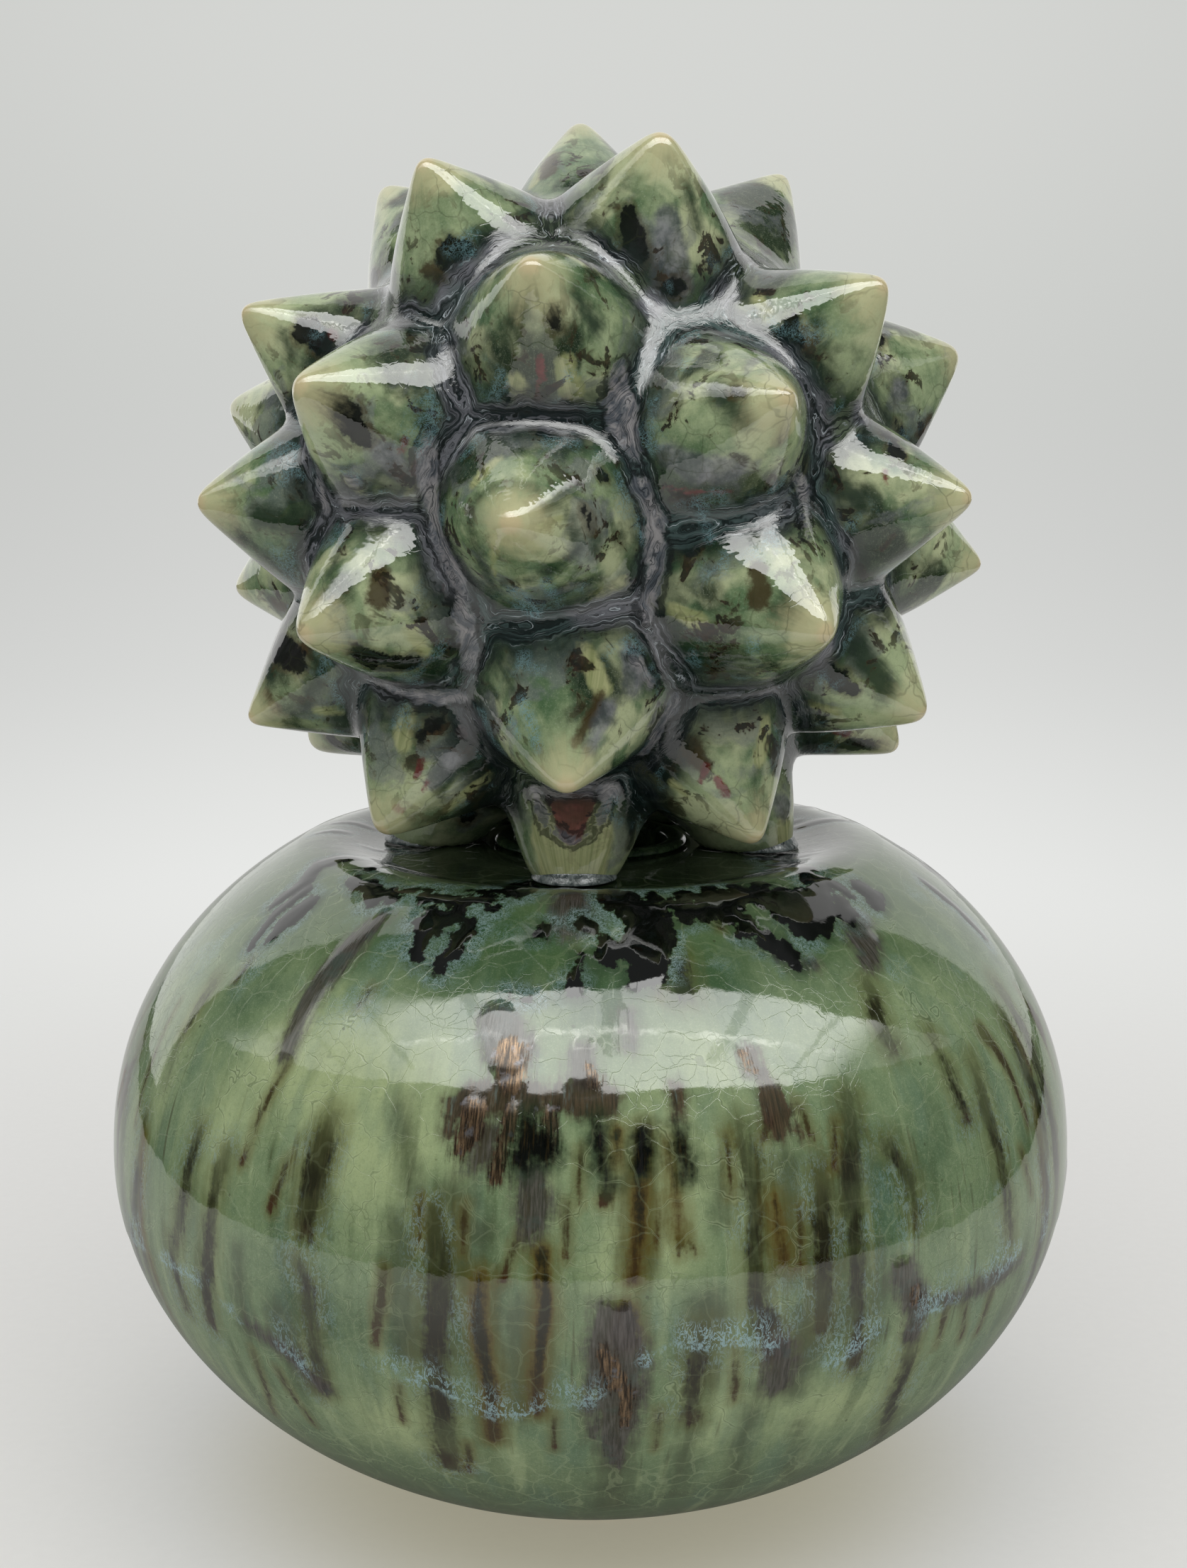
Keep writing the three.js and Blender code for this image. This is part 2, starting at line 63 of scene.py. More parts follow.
# Marks on the ball, glaze for the most part: kind, then [polar, azimuth, width in mm] along each. The near-black marks
# on the front leg's two sides are painted shade, and the milky ones are partly painted reflection.
BALL_MARKS = [
    ('cream', [(90.1, -9.4, 5.3), (92, -10.4, 4.1)]),
    ('cream', [(92.1, -11.7, 2.2), (94.8, -13, 1.1), (98, -14.1, 0.8)]),
    ('cream', [(91.2, -7.1, 3.2), (89.6, -3.9, 1)]),
    ('deep', [(92.9, 1, 2.5), (95.2, 0.6, 2)]),
    ('deep', [(92.4, 4.7, 2.5), (94.6, 5.2, 2)]),
    ('deep', [(88.8, -16, 2.7), (94.6, -15.7, 3), (101.9, -15.4, 2.6)]),
    ('deep', [(87.1, -14.8, 1.7), (85.3, -11.1, 1.7), (86.1, -7, 1.7)]),
    ('deep', [(97.3, -6.2, 3.2), (94, -1.7, 2.7)]),
    ('deep', [(99.8, -13.2, 2), (98, -7.7, 1.8)]),
    ('black', [(88.7, -0.8, 1.1), (91.2, 0.3, 1)]),
    ('deep', [(88.3, -3.3, 2), (92.5, -2.2, 2.2)]),
    ('deep', [(106.3, -14, 2.1), (106.3, -7.6, 1.8)]),
    ('black', [(77.3, -6.9, 2.3), (77.7, -4.2, 1.5)]),
    ('black', [(83.3, 1.7, 1.8), (83.7, 2.3, 1.3)]),
    ('wisp', [(101.2, -11.5, 4.3), (105.2, -9.9, 3.9)]),
    ('wisp', [(98.8, -6.4, 2.3), (101.8, -5.8, 2)]),
    ('black', [(62.5, -5.2, 1.7), (63.8, -5.1, 2.5)]),
    ('rust', [(67.4, -7.5, 1.5), (69.4, -7.5, 1.8)]),
    ('cream', [(70, -11.6, 3.8), (72.6, -10.6, 3.8)]),
    ('cream', [(67.8, -3.8, 3.8), (70.5, -3, 4.3)]),
    ('black', [(73.4, -8.3, 1.8), (74.4, -8.2, 1.8)]),
    ('rust', [(70.9, -8.3, 1.3), (72.8, -8.7, 1)]),
    ('black', [(73, -4, 2.5), (73.3, -3.1, 2.3)]),
    ('black', [(68.7, 5.2, 1.8), (73.3, 4.3, 2.8), (79.7, 6.7, 2.8)]),
    ('black', [(80.9, 7.3, 2), (84.4, 8.5, 1.5)]),
    ('grey', [(80.3, 11.9, 4.5), (83.2, 16.7, 5.8), (82.6, 21, 4.5)]),
    ('rust', [(85.3, 12.1, 0.9), (86.1, 16.4, 1), (86.3, 21.4, 0.8)]),
    ('black', [(77.6, 25.7, 1.5), (79.8, 26, 1.2)]),
    ('black', [(75, -37.7, 3.8), (76.3, -35.4, 5.1), (79.3, -34.2, 3.3)]),
    ('rust', [(80.4, -27.2, 2.3), (83.1, -28.2, 3.3)]),
    ('rust', [(78.7, -29.1, 1.3), (80.7, -30, 1)]),
    ('grey', [(80.9, -32.3, 4.6), (83.7, -30.6, 3.9)]),
    ('cream', [(85.8, -29.2, 2.8), (87.2, -30.8, 2.3)]),
    ('black', [(71.2, -22.6, 2.3), (75.7, -23, 2.6)]),
    ('soft', [(98.3, -32.7, 3.4), (101.4, -32.5, 4.6)]),
    ('black', [(108.7, -35.7, 3.4), (112.1, -34.5, 5.3), (112.9, -31, 3.9)]),
    ('deep', [(98.1, -39.7, 2.3), (93.7, -41.1, 2.9)]),
    ('soft', [(97, 24.9, 3.3), (101.5, 24.3, 4.3)]),
    ('black', [(91.6, 15.7, 2.3), (95.3, 16.5, 3.3)]),
    ('deep', [(90.2, 13.9, 2.6), (89, 18, 2.6)]),
    ('deep', [(102, 26.3, 3.3), (103.2, 28.3, 2.5)]),
    ('deep', [(111.8, 16.7, 3.9), (115.3, 25.6, 4.5)]),
    ('wisp', [(107, 24.1, 2.3), (108.8, 24.5, 1.8)]),
    ('wisp', [(89, 18, 1.8), (93.5, 19.5, 1.5)]),
    ('wisp', [(117.8, -11.3, 2.6), (120.1, -9.4, 2.8), (122.1, -8.4, 2.1)]),
    ('wisp', [(120.8, -13.7, 2.3), (122.1, -12.2, 1.8)]),
    ('deep', [(112.9, -17, 2.9), (116.8, -13.7, 3.4)]),
    ('cream', [(111.4, -0.9, 3.4), (115.9, 2, 3.9)]),
    ('soft', [(121, -2.5, 1.8), (119.3, -0.3, 2.6), (116.6, 1.7, 1.8)]),
    ('grey', [(118.5, 3.1, 3.9), (121.9, 0.2, 3.1)]),
    ('grey', [(112.4, 7.1, 4.7), (117.2, 7.6, 3.9)]),
    ('cream', [(124.4, -38.9, 3.8), (127.6, -39.6, 4.4)]),
    ('rust', [(130.7, -35.8, 1.4), (132.2, -36.9, 1.4)]),
    ('rust', [(133.6, -35.4, 1.2), (134.3, -36.3, 1)]),
    ('rust', [(134.9, -40.9, 1.8), (135.4, -40.3, 1.6)]),
    ('black', [(127.3, -35.7, 2.7), (126.5, -32.6, 2.2)]),
    ('grey', [(132, -30.3, 4.1), (134, -34.5, 3.5)]),
    ('cream', [(137.8, -25.2, 2.5), (138.5, -30.6, 2.2), (139.5, -34.7, 1.9)]),
    ('black', [(142.8, -28, 3.6), (156.8, -68.4, 3.3)]),
    ('deep', [(137.2, -39.5, 2.2), (156.5, -71.1, 2.1)]),
    ('soft', [(129.2, 20.5, 4.6), (130.9, 23, 4)]),
    ('rust', [(132.4, 26, 1.9), (133.7, 27.8, 1.6)]),
    ('rust', [(131.1, 24, 1.3), (133.9, 23.2, 1.1)]),
    ('cream', [(125.9, 37.6, 3.3), (129.5, 34.8, 3.5)]),
    ('cream', [(136.4, 18.9, 2.2), (137, 21.2, 1.9)]),
    ('soft', [(135.4, 33.7, 2.7), (135.8, 35.2, 2.2)]),
    ('black', [(133.4, 16.8, 1.9), (130.1, 17.7, 2.1)]),
    ('rust', [(100.9, 8.6, 2.3), (105.1, 8.9, 2.6)]),
    ('rust', [(128.7, -28.2, 2.2), (129.2, -28, 1.9)]),
    ('rust', [(101.1, -24.9, 1.3), (103, -24.6, 1.2)]),
    ('black', [(112.5, -70.9, 5.1), (114.6, -64.6, 5.6)]),
    ('soft', [(118.4, -69.7, 2.8), (120.7, -68.9, 2.8)]),
    ('deep', [(117.6, -60.3, 4.2), (121.2, -64.3, 4.2)]),
    ('cream', [(107.1, 32.1, 2), (113.2, 47.9, 1.9)]),
    ('cream', [(122.7, 47.3, 1.9), (122.7, 51.8, 1.7)]),
    ('cream', [(132.8, 83.6, 1.5), (130.6, 85.8, 1.2)]),
    ('deep', [(111.3, 51.7, 5.4), (116.2, 55.8, 6)]),
    ('black', [(116.6, 48, 2.7), (117.8, 51.3, 3)]),
    ('black', [(77.7, 56.8, 1.9), (81.4, 53.9, 2.1)]),
    ('rust', [(83.9, 50.8, 1.2), (86.5, 50.2, 1.1)]),
    ('deep', [(85, 44.9, 5.3), (88.5, 46.9, 4.8)]),
    ('black', [(60.4, 37.3, 3.4), (62.9, 36.7, 4.4)]),
    ('deep', [(61.1, 40, 3.1), (65.1, 40.7, 3.1)]),
    ('black', [(61.6, -59.5, 4.6), (62.5, -56.8, 4.6)]),
    ('rust', [(60.7, -56, 1.6), (61.2, -55.1, 1.6)]),
    ('deep', [(63.3, -62.3, 2.7), (65.9, -61.2, 2.7)]),
    ('black', [(48.9, -27.9, 5.2), (49.8, -25.6, 5.7)]),
    ('deep', [(46.1, -22.4, 5.2), (46.1, -19.1, 3.9)]),
    ('soft', [(51.6, -33, 3.1), (52.3, -29.7, 2.9)]),
    ('black', [(42, 7.8, 2.1), (46.8, 9.8, 4.4)]),
    ('grey', [(43.5, 16, 5.2), (50.2, 17.7, 8.3)]),
    ('deep', [(39.8, 21, 2.1), (43.8, 23.4, 2.3)]),
    ('black', [(45.2, -103.2, 2.7), (45.4, -99.1, 2.7)]),
    ('black', [(51.1, 16.1, 2.1), (50.4, 19.6, 2.1)]),
    ('deep', [(91, -58.7, 5.4), (92.2, -54.8, 4.9)]),
    ('deep', [(88.8, -54.7, 3), (94.5, -54.6, 3.3)]),
    ('grey', [(70.1, 82.7, 4.9)]),
    ('black', [(75.9, 81.4, 1.4), (77.5, 82.4, 1.7)]),
    ('black', [(132.4, -100.5, 3.7), (135.9, -101.7, 3.1)]),
    ('black', [(133.4, 86.1, 3.6), (129.6, 92.8, 3)]),
    ('cream', [(145.4, -4.9, 17.6), (147.3, -4.9, 15.1), (148.9, -5, 13.8)]),
    ('deep', [(145, 3.2, 1.9), (147.8, 4.4, 1.7)]),
    ('rust', [(141.7, -9.4, 3.6), (144.6, -5.1, 1.9)]),
    ('rust', [(141.8, 0.2, 3.6), (144.5, -4.2, 1.9)]),
    ('rust', [(141.5, -5, 11), (145, -4.9, 4.9)]),
    # milky glaze in the valleys, partly painted reflection
    ('milk', [(142, -14.8, 3), (144, -13.7, 2.3), (145.1, -10, 1.4), (145.7, -4.9, 0.8)]),
    ('milk', [(142.2, 5.3, 2.9), (144.2, 4.1, 2.2), (145.3, 0.7, 1.2), (145.7, -4.9, 0.8)]),
    # painted shade on the two sides of the front leg
    ('leg_side_shade', [(140.5, -22.2, 4.1)]),
    ('leg_side_shade', [(142.4, 12.6, 3.6), (150.8, 12.6, 3.1)]),
    ('grey', [(130.6, 40.6, 5.5), (146.2, 74.9, 5.9)]),
    ('cream', [(147.5, 75.3, 5.9), (149.3, 78.3, 6.6)]),
    ('cream', [(53.8, 35.2, 2.4), (58.4, 34.8, 2.3)]),
    ('deep', [(88.6, -5.6, 3.2), (84.8, -2.3, 2.7)]),
    ('cream', [(85, -16.1, 2.5), (81.9, -13.3, 2.5)]),
    ('deep', [(105.2, -5.1, 2.1), (103, 2.1, 2.6)]),
    ('cream', [(102.9, 0.9, 2.6), (100.8, 5.7, 2.3)]),
    ('deep', [(61.2, -8.1, 2.2), (64, -11.8, 3)]),
    ('deep', [(59.3, -2.4, 2.7), (62.1, 0.8, 3.8)]),
    ('cream', [(85.2, -39.7, 2.1), (87.2, -38.5, 1.8)]),
    ('deep', [(70.3, -27.9, 3.3), (75.3, -26.5, 3.8)]),
    ('deep', [(72.5, 18.1, 4.5), (77, 20.7, 4.9)]),
    ('black', [(73.2, 20.3, 1.7), (74, 20.8, 1.2)]),
    ('deep', [(102.9, 29.7, 1.8), (100.2, 27.4, 2.5)]),
    ('cream', [(106.1, 17.7, 3.1), (104.9, 13.9, 2.8)]),
    # milky glaze in the valleys, partly painted reflection
    ('milk', [(66.8, 4.8, 3.8), (70.4, 5.3, 5.1), (75, 5.7, 4.5), (79.8, 7.4, 2)]),
    ('milk', [(78.3, -26.4, 2), (83, -27.2, 3.5), (88, -26.8, 3.9), (94.8, -24.3, 4.1), (100.8, -22.5, 3.1)]),
    ('milk', [(103.4, -22.5, 3.5), (108.2, -22.2, 4.2), (115.4, -23, 2.5)]),
    ('milk', [(114.1, 8.4, 2.9), (118, 10, 4.2), (123.4, 11.3, 2.9)]),
    ('milk', [(122.6, 17.2, 2.5), (126.5, 13.9, 3.6), (132.7, 11.4, 2.6)]),
    ('milk', [(120.6, -43.2, 2.6), (122.4, -35, 3.2), (122.9, -25.8, 2.5)]),
    ('milk', [(76.2, 24.8, 2), (80.1, 31.5, 3.1), (84.8, 38.8, 3.6), (93.4, 34.7, 2.5)]),
    ('milk', [(51.2, -19.7, 1.8), (56.8, -10.7, 2.3), (54.7, -5.8, 2.4), (51.2, 1, 1.8)]),
    ('milk', [(85, 8.5, 2.8), (90.2, 10.6, 3.5), (96.1, 11.2, 3.9), (106.8, 10, 2.5)]),
    ('milk', [(76.8, -34.4, 1.8), (81.3, -37.3, 2.1), (85.1, -38.7, 1.8)]),
    ('milk', [(81.5, -40.9, 1.8), (85.2, -50.4, 2.5), (89.8, -50.3, 1.9)]),
    ('cream', [(107.2, -29.1, 2.3), (111.5, -28.5, 2.6)]),
]

# Glaze marks on the body: kind, then [azimuth, radius, height, width] along each.
BODY_MARKS = [
    ('grey', [(-35.1, 68.3, 136.8, 2.9), (-36.7, 76.1, 131.2, 5.3), (-38.1, 83.6, 124.3, 4.5), (-37.8, 91.2, 115, 3.9)]),
    ('brown', [(-36.9, 92.6, 112.9, 1), (-38.5, 96.8, 104.8, 1.2), (-39.1, 99.6, 97.3, 0.9), (-39.5, 100.2, 95.5, 1.6)]),
    ('brown', [(-29.6, 81.3, 126.7, 1.2), (-30, 84.3, 123.7, 0.6)]),
    ('soft', [(-28.5, 96, 106.7, 3.3), (-29.3, 98.6, 100.4, 5.3), (-29.9, 101.1, 91.3, 4.3), (-30.2, 102, 85.6, 3.3)]),
    ('soft', [(-31.3, 102.4, 81.5, 2), (-29.6, 102.5, 75.9, 2.5), (-29.5, 101.6, 66.5, 2.8), (-30.1, 98, 54.6, 3.4)]),
    ('brown', [(-33.1, 99.2, 98.6, 1.1), (-33.9, 100.6, 93.7, 1.3), (-34.7, 101.6, 88.8, 1.8)]),
    ('soft', [(-47.6, 99.3, 98.3, 1.9), (-48.5, 101.8, 87.3, 2.7), (-50.2, 102.5, 75.3, 2.7)]),
    ('soft', [(-42.3, 100, 96, 2.9), (-43.5, 102, 86, 2.9), (-44.3, 102.5, 74.7, 3.4), (-46.3, 100.1, 60.6, 2.9)]),
    ('soft', [(-51.4, 102.5, 74.6, 2.4), (-51.5, 101.6, 66.6, 3), (-51.2, 100.1, 60.6, 2.5)]),
    ('grey', [(-38.3, 101.1, 64.4, 2.1), (-33.3, 100.2, 60.8, 3.9), (-30, 98.1, 55, 3.4)]),
    ('brown', [(-39.5, 99.4, 58.4, 1.3), (-40, 95.5, 49.2, 1.1), (-43, 89.4, 39.6, 0.8)]),
    ('brown', [(-36.3, 98.6, 56, 1.3), (-34.9, 93.9, 46.4, 0.9), (-34.9, 91.5, 42.6, 0.8)]),
    ('brown', [(-20.8, 102.3, 82.3, 1.7), (-21.4, 102.5, 75.1, 2), (-22.1, 101.7, 67.5, 1.3)]),
    ('soft', [(-16, 100.7, 93.2, 3.2), (-14.8, 102.4, 81.9, 4.9), (-15.6, 101.7, 67.5, 4.7), (-15.8, 98.2, 55.1, 4.5), (-16.6, 89.5, 39.8, 4.2)]),
    ('amber', [(-10.8, 102.2, 83.4, 2.2), (-11, 102.5, 75.7, 3.7), (-10, 100.1, 60.6, 3.2), (-10.5, 95.6, 49.4, 3.3)]),
    ('brown', [(-6.9, 101.2, 91.1, 1.1), (-8.1, 102.1, 85, 1), (-8.6, 102.3, 82.8, 1.7)]),
    ('amber', [(3.5, 102.5, 77.7, 3.7), (3.5, 102.4, 72.9, 6.1)]),
    ('amber', [(-4.8, 101.7, 87.9, 2.7), (-4.3, 102.5, 78.1, 3.2), (-5, 102, 69.2, 2.9), (-5.5, 99, 57.1, 3)]),
    ('grey', [(1.2, 102.5, 78.3, 2.7), (2.4, 102.5, 74.9, 7.6), (2.2, 102, 69.1, 10.8), (2.9, 100.6, 62.5, 8.9), (2.9, 98, 54.5, 7.7), (2.5, 95.1, 48.5, 5.1), (3, 91.9, 43.3, 2.6)]),
    ('grey', [(4.6, 102.4, 73.7, 2), (5.1, 101.6, 66.8, 2.7), (4.8, 99.2, 57.7, 2)]),
    ('grey', [(0.4, 102.2, 71.2, 1.7), (-0, 100.7, 62.6, 2.5), (0.4, 96.4, 51.1, 1.8)]),
    ('bronze', [(1.2, 102.1, 69.8, 2.9), (2.5, 101, 64, 4.4)]),
    ('bronze', [(3.6, 100.4, 61.7, 3.5), (3.5, 97.9, 54.5, 2.5)]),
    ('faint', [(2.6, 95, 48.3, 6.3), (2.8, 88.8, 38.8, 6.2), (2.9, 79, 28.3, 5.8)]),
    ('soft', [(10.9, 102.4, 73, 3), (10.5, 100.7, 62.7, 3.2), (10.5, 97.9, 54.4, 2.8)]),
    ('brown', [(19.5, 95.1, 108.5, 2), (18.5, 96.7, 105.1, 1.2)]),
    ('brown', [(23.1, 94.1, 110.3, 1), (23.9, 97.2, 104, 1.5)]),
    ('soft', [(15.9, 95.4, 107.9, 2.2), (16.6, 98.5, 100.8, 3.5), (16.7, 100.8, 93.1, 2.7), (16.4, 102.1, 84.9, 3), (16.9, 102.5, 76.3, 3.5), (19.1, 101.8, 67.7, 5)]),
    ('grey', [(19.1, 101.8, 67.7, 6.2), (19.6, 100.2, 60.9, 6)]),
    ('amber', [(18.9, 100.2, 95.4, 1.5), (19.1, 101.5, 89.3, 2.2), (19.4, 102.2, 84.3, 2)]),
    ('soft', [(24.2, 99.5, 97.8, 3), (23.8, 101.9, 86.5, 3.5), (23.7, 102.2, 70.8, 3.3)]),
    ('soft', [(29.5, 94.6, 109.3, 3.6), (27.7, 99.3, 98.4, 5), (27.5, 101.6, 88.7, 3.8), (27.6, 102.5, 78.4, 3), (28.4, 100.5, 61.8, 3.6)]),
    ('soft', [(32.9, 98.4, 101, 3.3), (35.3, 100.6, 93.6, 2.6), (35.3, 102, 86, 1.5)]),
    ('soft', [(38.9, 82.7, 125.3, 2.6), (37.8, 86.9, 120.7, 3.4), (37.6, 91, 115.4, 2.6)]),
    ('soft', [(44.9, 90.1, 116.5, 1.3), (45.2, 95.6, 107.5, 2.4), (45.7, 98.4, 100.9, 2.1)]),
    ('brown', [(54.9, 92.3, 113.3, 3.3), (56.7, 96, 106.6, 2.2), (57.9, 100.5, 94.4, 1.2)]),
    ('soft', [(50.2, 94.3, 110, 2.1), (49.3, 98.4, 100.9, 3.2), (50, 101.2, 91, 2.9), (51.5, 102.5, 74.5, 1.9)]),
    ('brown', [(63, 94.1, 110.2, 1.1), (63.3, 97.7, 102.8, 0.8)]),
    ('grey', [(33.4, 102.5, 77.1, 6.4), (35.8, 102.1, 69.8, 6.2), (35.9, 101.2, 64.6, 4.4)]),
    ('bronze', [(35, 102.4, 73.4, 2.8), (35.3, 102.3, 71.8, 2.3)]),
    ('soft', [(36, 100.9, 63.4, 3.4), (36.8, 94.6, 47.7, 3.2), (44.4, 78.6, 27.9, 2.2)]),
    ('grey', [(38.6, 102, 69.4, 2.6), (43.6, 101.9, 68.6, 3.4), (49.6, 101.9, 68.8, 3.5), (54.6, 101.9, 68.7, 2.5)]),
    ('brown', [(40.3, 101.7, 67.2, 1.6), (40.4, 99.6, 59, 0.9)]),
    ('brown', [(43.5, 101.7, 67.4, 1.3), (45, 99.2, 57.8, 1.1)]),
    ('brown', [(48.7, 101.7, 67.4, 1.6), (48.4, 99, 57.2, 1.1)]),
    ('faint', [(17.1, 100, 60.1, 2.5), (17, 94.9, 48.2, 3.6), (18.7, 82.7, 31.8, 2.9)]),
    ('faint', [(10.9, 97.5, 53.4, 2.5), (10.5, 92.6, 44.2, 3.3), (11.2, 82, 31.1, 2.6)]),
    ('faint', [(23.3, 95.6, 49.4, 2.1), (27.8, 81.5, 30.7, 3.5)]),
    ('brown', [(54.6, 101.1, 91.5, 1.1), (56.6, 102.4, 81, 0.8)]),
    ('faint', [(-9.1, 102.2, 83.6, 2.4), (-8.8, 102.2, 70.6, 3.2), (-8.9, 97.7, 53.8, 3)]),
    ('faint', [(-21.2, 94.3, 109.9, 2), (-18.9, 98.3, 101.2, 3.2), (-17.2, 101, 92.1, 3)]),
    ('faint', [(-39.5, 102.5, 79.8, 2.1), (-39.5, 102.1, 70.1, 2.9), (-39.4, 100.7, 62.7, 2.6)]),
    ('faint', [(13.6, 98, 102, 1.7), (13.2, 100.8, 92.8, 2)]),
    ('faint', [(30.2, 102.2, 83.6, 1.8), (31.1, 101.6, 66.9, 2.3)]),
    ('grey', [(44.2, 73.5, 133.3, 6), (43.1, 77.2, 130.3, 5.4)]),
    ('grey', [(46.3, 71.4, 134.8, 5.2), (42.4, 75.5, 131.7, 5.1)]),
    ('grey', [(44.7, 75.5, 131.7, 4.6), (41.7, 78.9, 128.9, 4.6)]),
    ('grey', [(4.8, 82.9, 125.1, 2), (4.7, 87, 120.5, 2.2)]),
    ('grey', [(-4.2, 59.5, 141.1, 6.1), (-3.3, 63.5, 139.7, 7.9)]),
    ('grey', [(-6.3, 41.8, 139.4, 5.5), (-3.9, 63.6, 139.6, 5.2)]),
    ('grey', [(-3.7, 57.8, 141.4, 6.9), (-3.1, 67.2, 137.5, 6.7)]),
    ('faint', [(-178.8, 30.3, 139.4, 7.5), (-0.3, 64.8, 139, 7.9)]),
    ('brown', [(-53.6, 81.4, 126.6, 1.6), (-53.5, 85.4, 122.4, 1)]),
    ('soft', [(-58.2, 86.7, 120.9, 2.2), (-57.9, 92.7, 112.6, 1.4)]),
    ('faint', [(-58.3, 94.3, 109.9, 1.4), (-57.3, 97.9, 102.4, 1.1)]),
    ('grey', [(32.3, 77.9, 129.8, 1.3), (27.4, 75.8, 131.5, 1.3)]),
    ('black', [(-40.5, 64.6, 139.1, 3.3), (-36.9, 63.4, 139.7, 2.6)]),
    ('black', [(-41.9, 63.1, 139.9, 2.9), (-39.2, 66, 138.3, 2.8)]),
    ('black', [(-37.9, 62.2, 140.4, 2.2), (-36, 64.6, 139.1, 2.2)]),
    ('black', [(-34.8, 61.7, 140.6, 1.5), (-28.9, 59.6, 141, 1.1)]),
    ('black', [(-26.6, 66.5, 137.9, 2.9), (-27, 69.8, 135.9, 3.2)]),
    ('black', [(-27.2, 65.2, 138.7, 2.5), (-25.9, 67.8, 137.2, 2.5)]),
    ('black', [(-27.7, 68.4, 136.8, 2.8), (-26.4, 71.1, 135, 2.7)]),
    ('black', [(-25.4, 72.6, 133.9, 1.8), (-25.3, 74.1, 132.8, 2.7)]),
    ('black', [(-25.7, 71.9, 134.4, 1.6), (-25.1, 73.3, 133.4, 1.6)]),
    ('black', [(-25.8, 73.1, 133.5, 2.3), (-24.9, 75.1, 132, 2.3)]),
    ('black', [(-19, 68.7, 136.6, 2.5), (-19.9, 72.5, 134, 3.1), (-21.2, 76, 131.4, 2.8)]),
    ('black', [(-19.4, 67.6, 137.3, 2.1), (-18.7, 69.8, 135.9, 2.1)]),
    ('black', [(-20.4, 71.2, 134.9, 2.7), (-19.5, 73.7, 133.1, 2.7)]),
    ('black', [(-21.5, 74.9, 132.2, 2.4), (-20.8, 77, 130.6, 2.4)]),
    ('black', [(-22.5, 60, 141, 2), (-15.5, 57.2, 141.6, 2.2)]),
    ('black', [(-23.2, 58.3, 141.3, 1.7), (-21.7, 61.6, 140.6, 1.7)]),
    ('black', [(-17, 52.8, 141.4, 1.9), (-14.9, 59, 141.2, 1.9)]),
    ('black', [(-14.1, 56.7, 141.7, 2.9), (-16.3, 42.2, 139.4, 2.6)]),
    ('black', [(-19.8, 42.3, 139.4, 2.6), (-13.4, 59.1, 141.1, 2.5)]),
    ('black', [(-18.4, 37.9, 139.4, 2.3), (-11.7, 56.2, 141.7, 2.2)]),
    ('black', [(-17.1, 63.8, 139.5, 1.4), (-16.2, 63.7, 139.6, 1.4)]),
    ('black', [(-7.2, 68.1, 136.9, 1.8), (-8.1, 69.4, 136.2, 1.1)]),
    ('black', [(-7.3, 67.3, 137.4, 1.5), (-7.1, 68.9, 136.5, 1.5)]),
    ('black', [(-1.2, 66.7, 137.8, 1.6), (0.1, 67.2, 137.5, 1.6)]),
    ('black', [(-1.2, 66, 138.2, 1.4), (-1.2, 67.5, 137.4, 1.4)]),
    ('black', [(0.1, 66.5, 138, 1.4), (0.1, 67.9, 137.1, 1.4)]),
    ('black', [(-1.3, 72.7, 133.8, 1.2), (-1.9, 76.8, 130.7, 1.8)]),
    ('black', [(-1.9, 76.1, 131.2, 1.5), (-1.9, 77.4, 130.2, 1.5)]),
    ('black', [(-2.1, 78.4, 129.3, 2.3), (-1.6, 78.5, 129.2, 2.3)]),
    ('black', [(-2.1, 77.6, 130, 2), (-2.1, 79.2, 128.6, 2)]),
    ('black', [(-1.6, 77.7, 129.9, 2), (-1.5, 79.3, 128.5, 2)]),
    ('black', [(3.6, 58.9, 141.2, 3.8), (6.1, 61.7, 140.6, 4.1), (8.1, 64.3, 139.2, 4.4)]),
    ('black', [(4, 53.6, 141.5, 3.3), (3.4, 62.1, 140.5, 3.2)]),
    ('black', [(6.6, 58.2, 141.3, 3.6), (5.9, 63.9, 139.5, 3.5)]),
    ('black', [(8.4, 62.1, 140.4, 3.8), (7.8, 66.4, 138, 3.8)]),
    ('black', [(8.6, 65.7, 138.4, 5.7), (8.9, 69, 136.4, 9.3), (8.9, 72.5, 134, 6.8), (8.8, 74.9, 132.2, 4.7)]),
    ('black', [(9, 62.9, 140, 4.9), (8.2, 68.2, 136.9, 4.8)]),
    ('black', [(9.6, 64.7, 139, 8.1), (8.4, 72.8, 133.8, 7.9)]),
    ('black', [(9.3, 69.7, 135.9, 5.9), (8.6, 75.1, 132, 5.8)]),
    ('black', [(9, 73.1, 133.6, 4.1), (8.6, 76.6, 130.8, 4)]),
    ('black', [(2.6, 72.3, 134.1, 3.7), (5.9, 71.4, 134.8, 3.1)]),
    ('black', [(2.6, 70.8, 135.2, 3.2), (2.5, 73.8, 133.1, 3.2)]),
    ('black', [(6.1, 70.1, 135.6, 2.7), (5.8, 72.7, 133.9, 2.7)]),
    ('black', [(11.8, 66, 138.2, 2.1), (12.1, 67, 137.6, 1.6)]),
    ('black', [(12, 65, 138.8, 1.8), (11.6, 67, 137.7, 1.8)]),
    ('black', [(12.2, 66.3, 138.1, 1.4), (11.9, 67.7, 137.2, 1.4)]),
    ('black', [(7.7, 74.8, 132.2, 4.7), (6.5, 77.4, 130.2, 3.1), (8.2, 77.9, 129.7, 1.8)]),
    ('black', [(7.9, 73, 133.6, 4.1), (7.5, 76.6, 130.9, 4)]),
    ('black', [(6.7, 76.3, 131.1, 2.7), (6.4, 78.4, 129.3, 2.6)]),
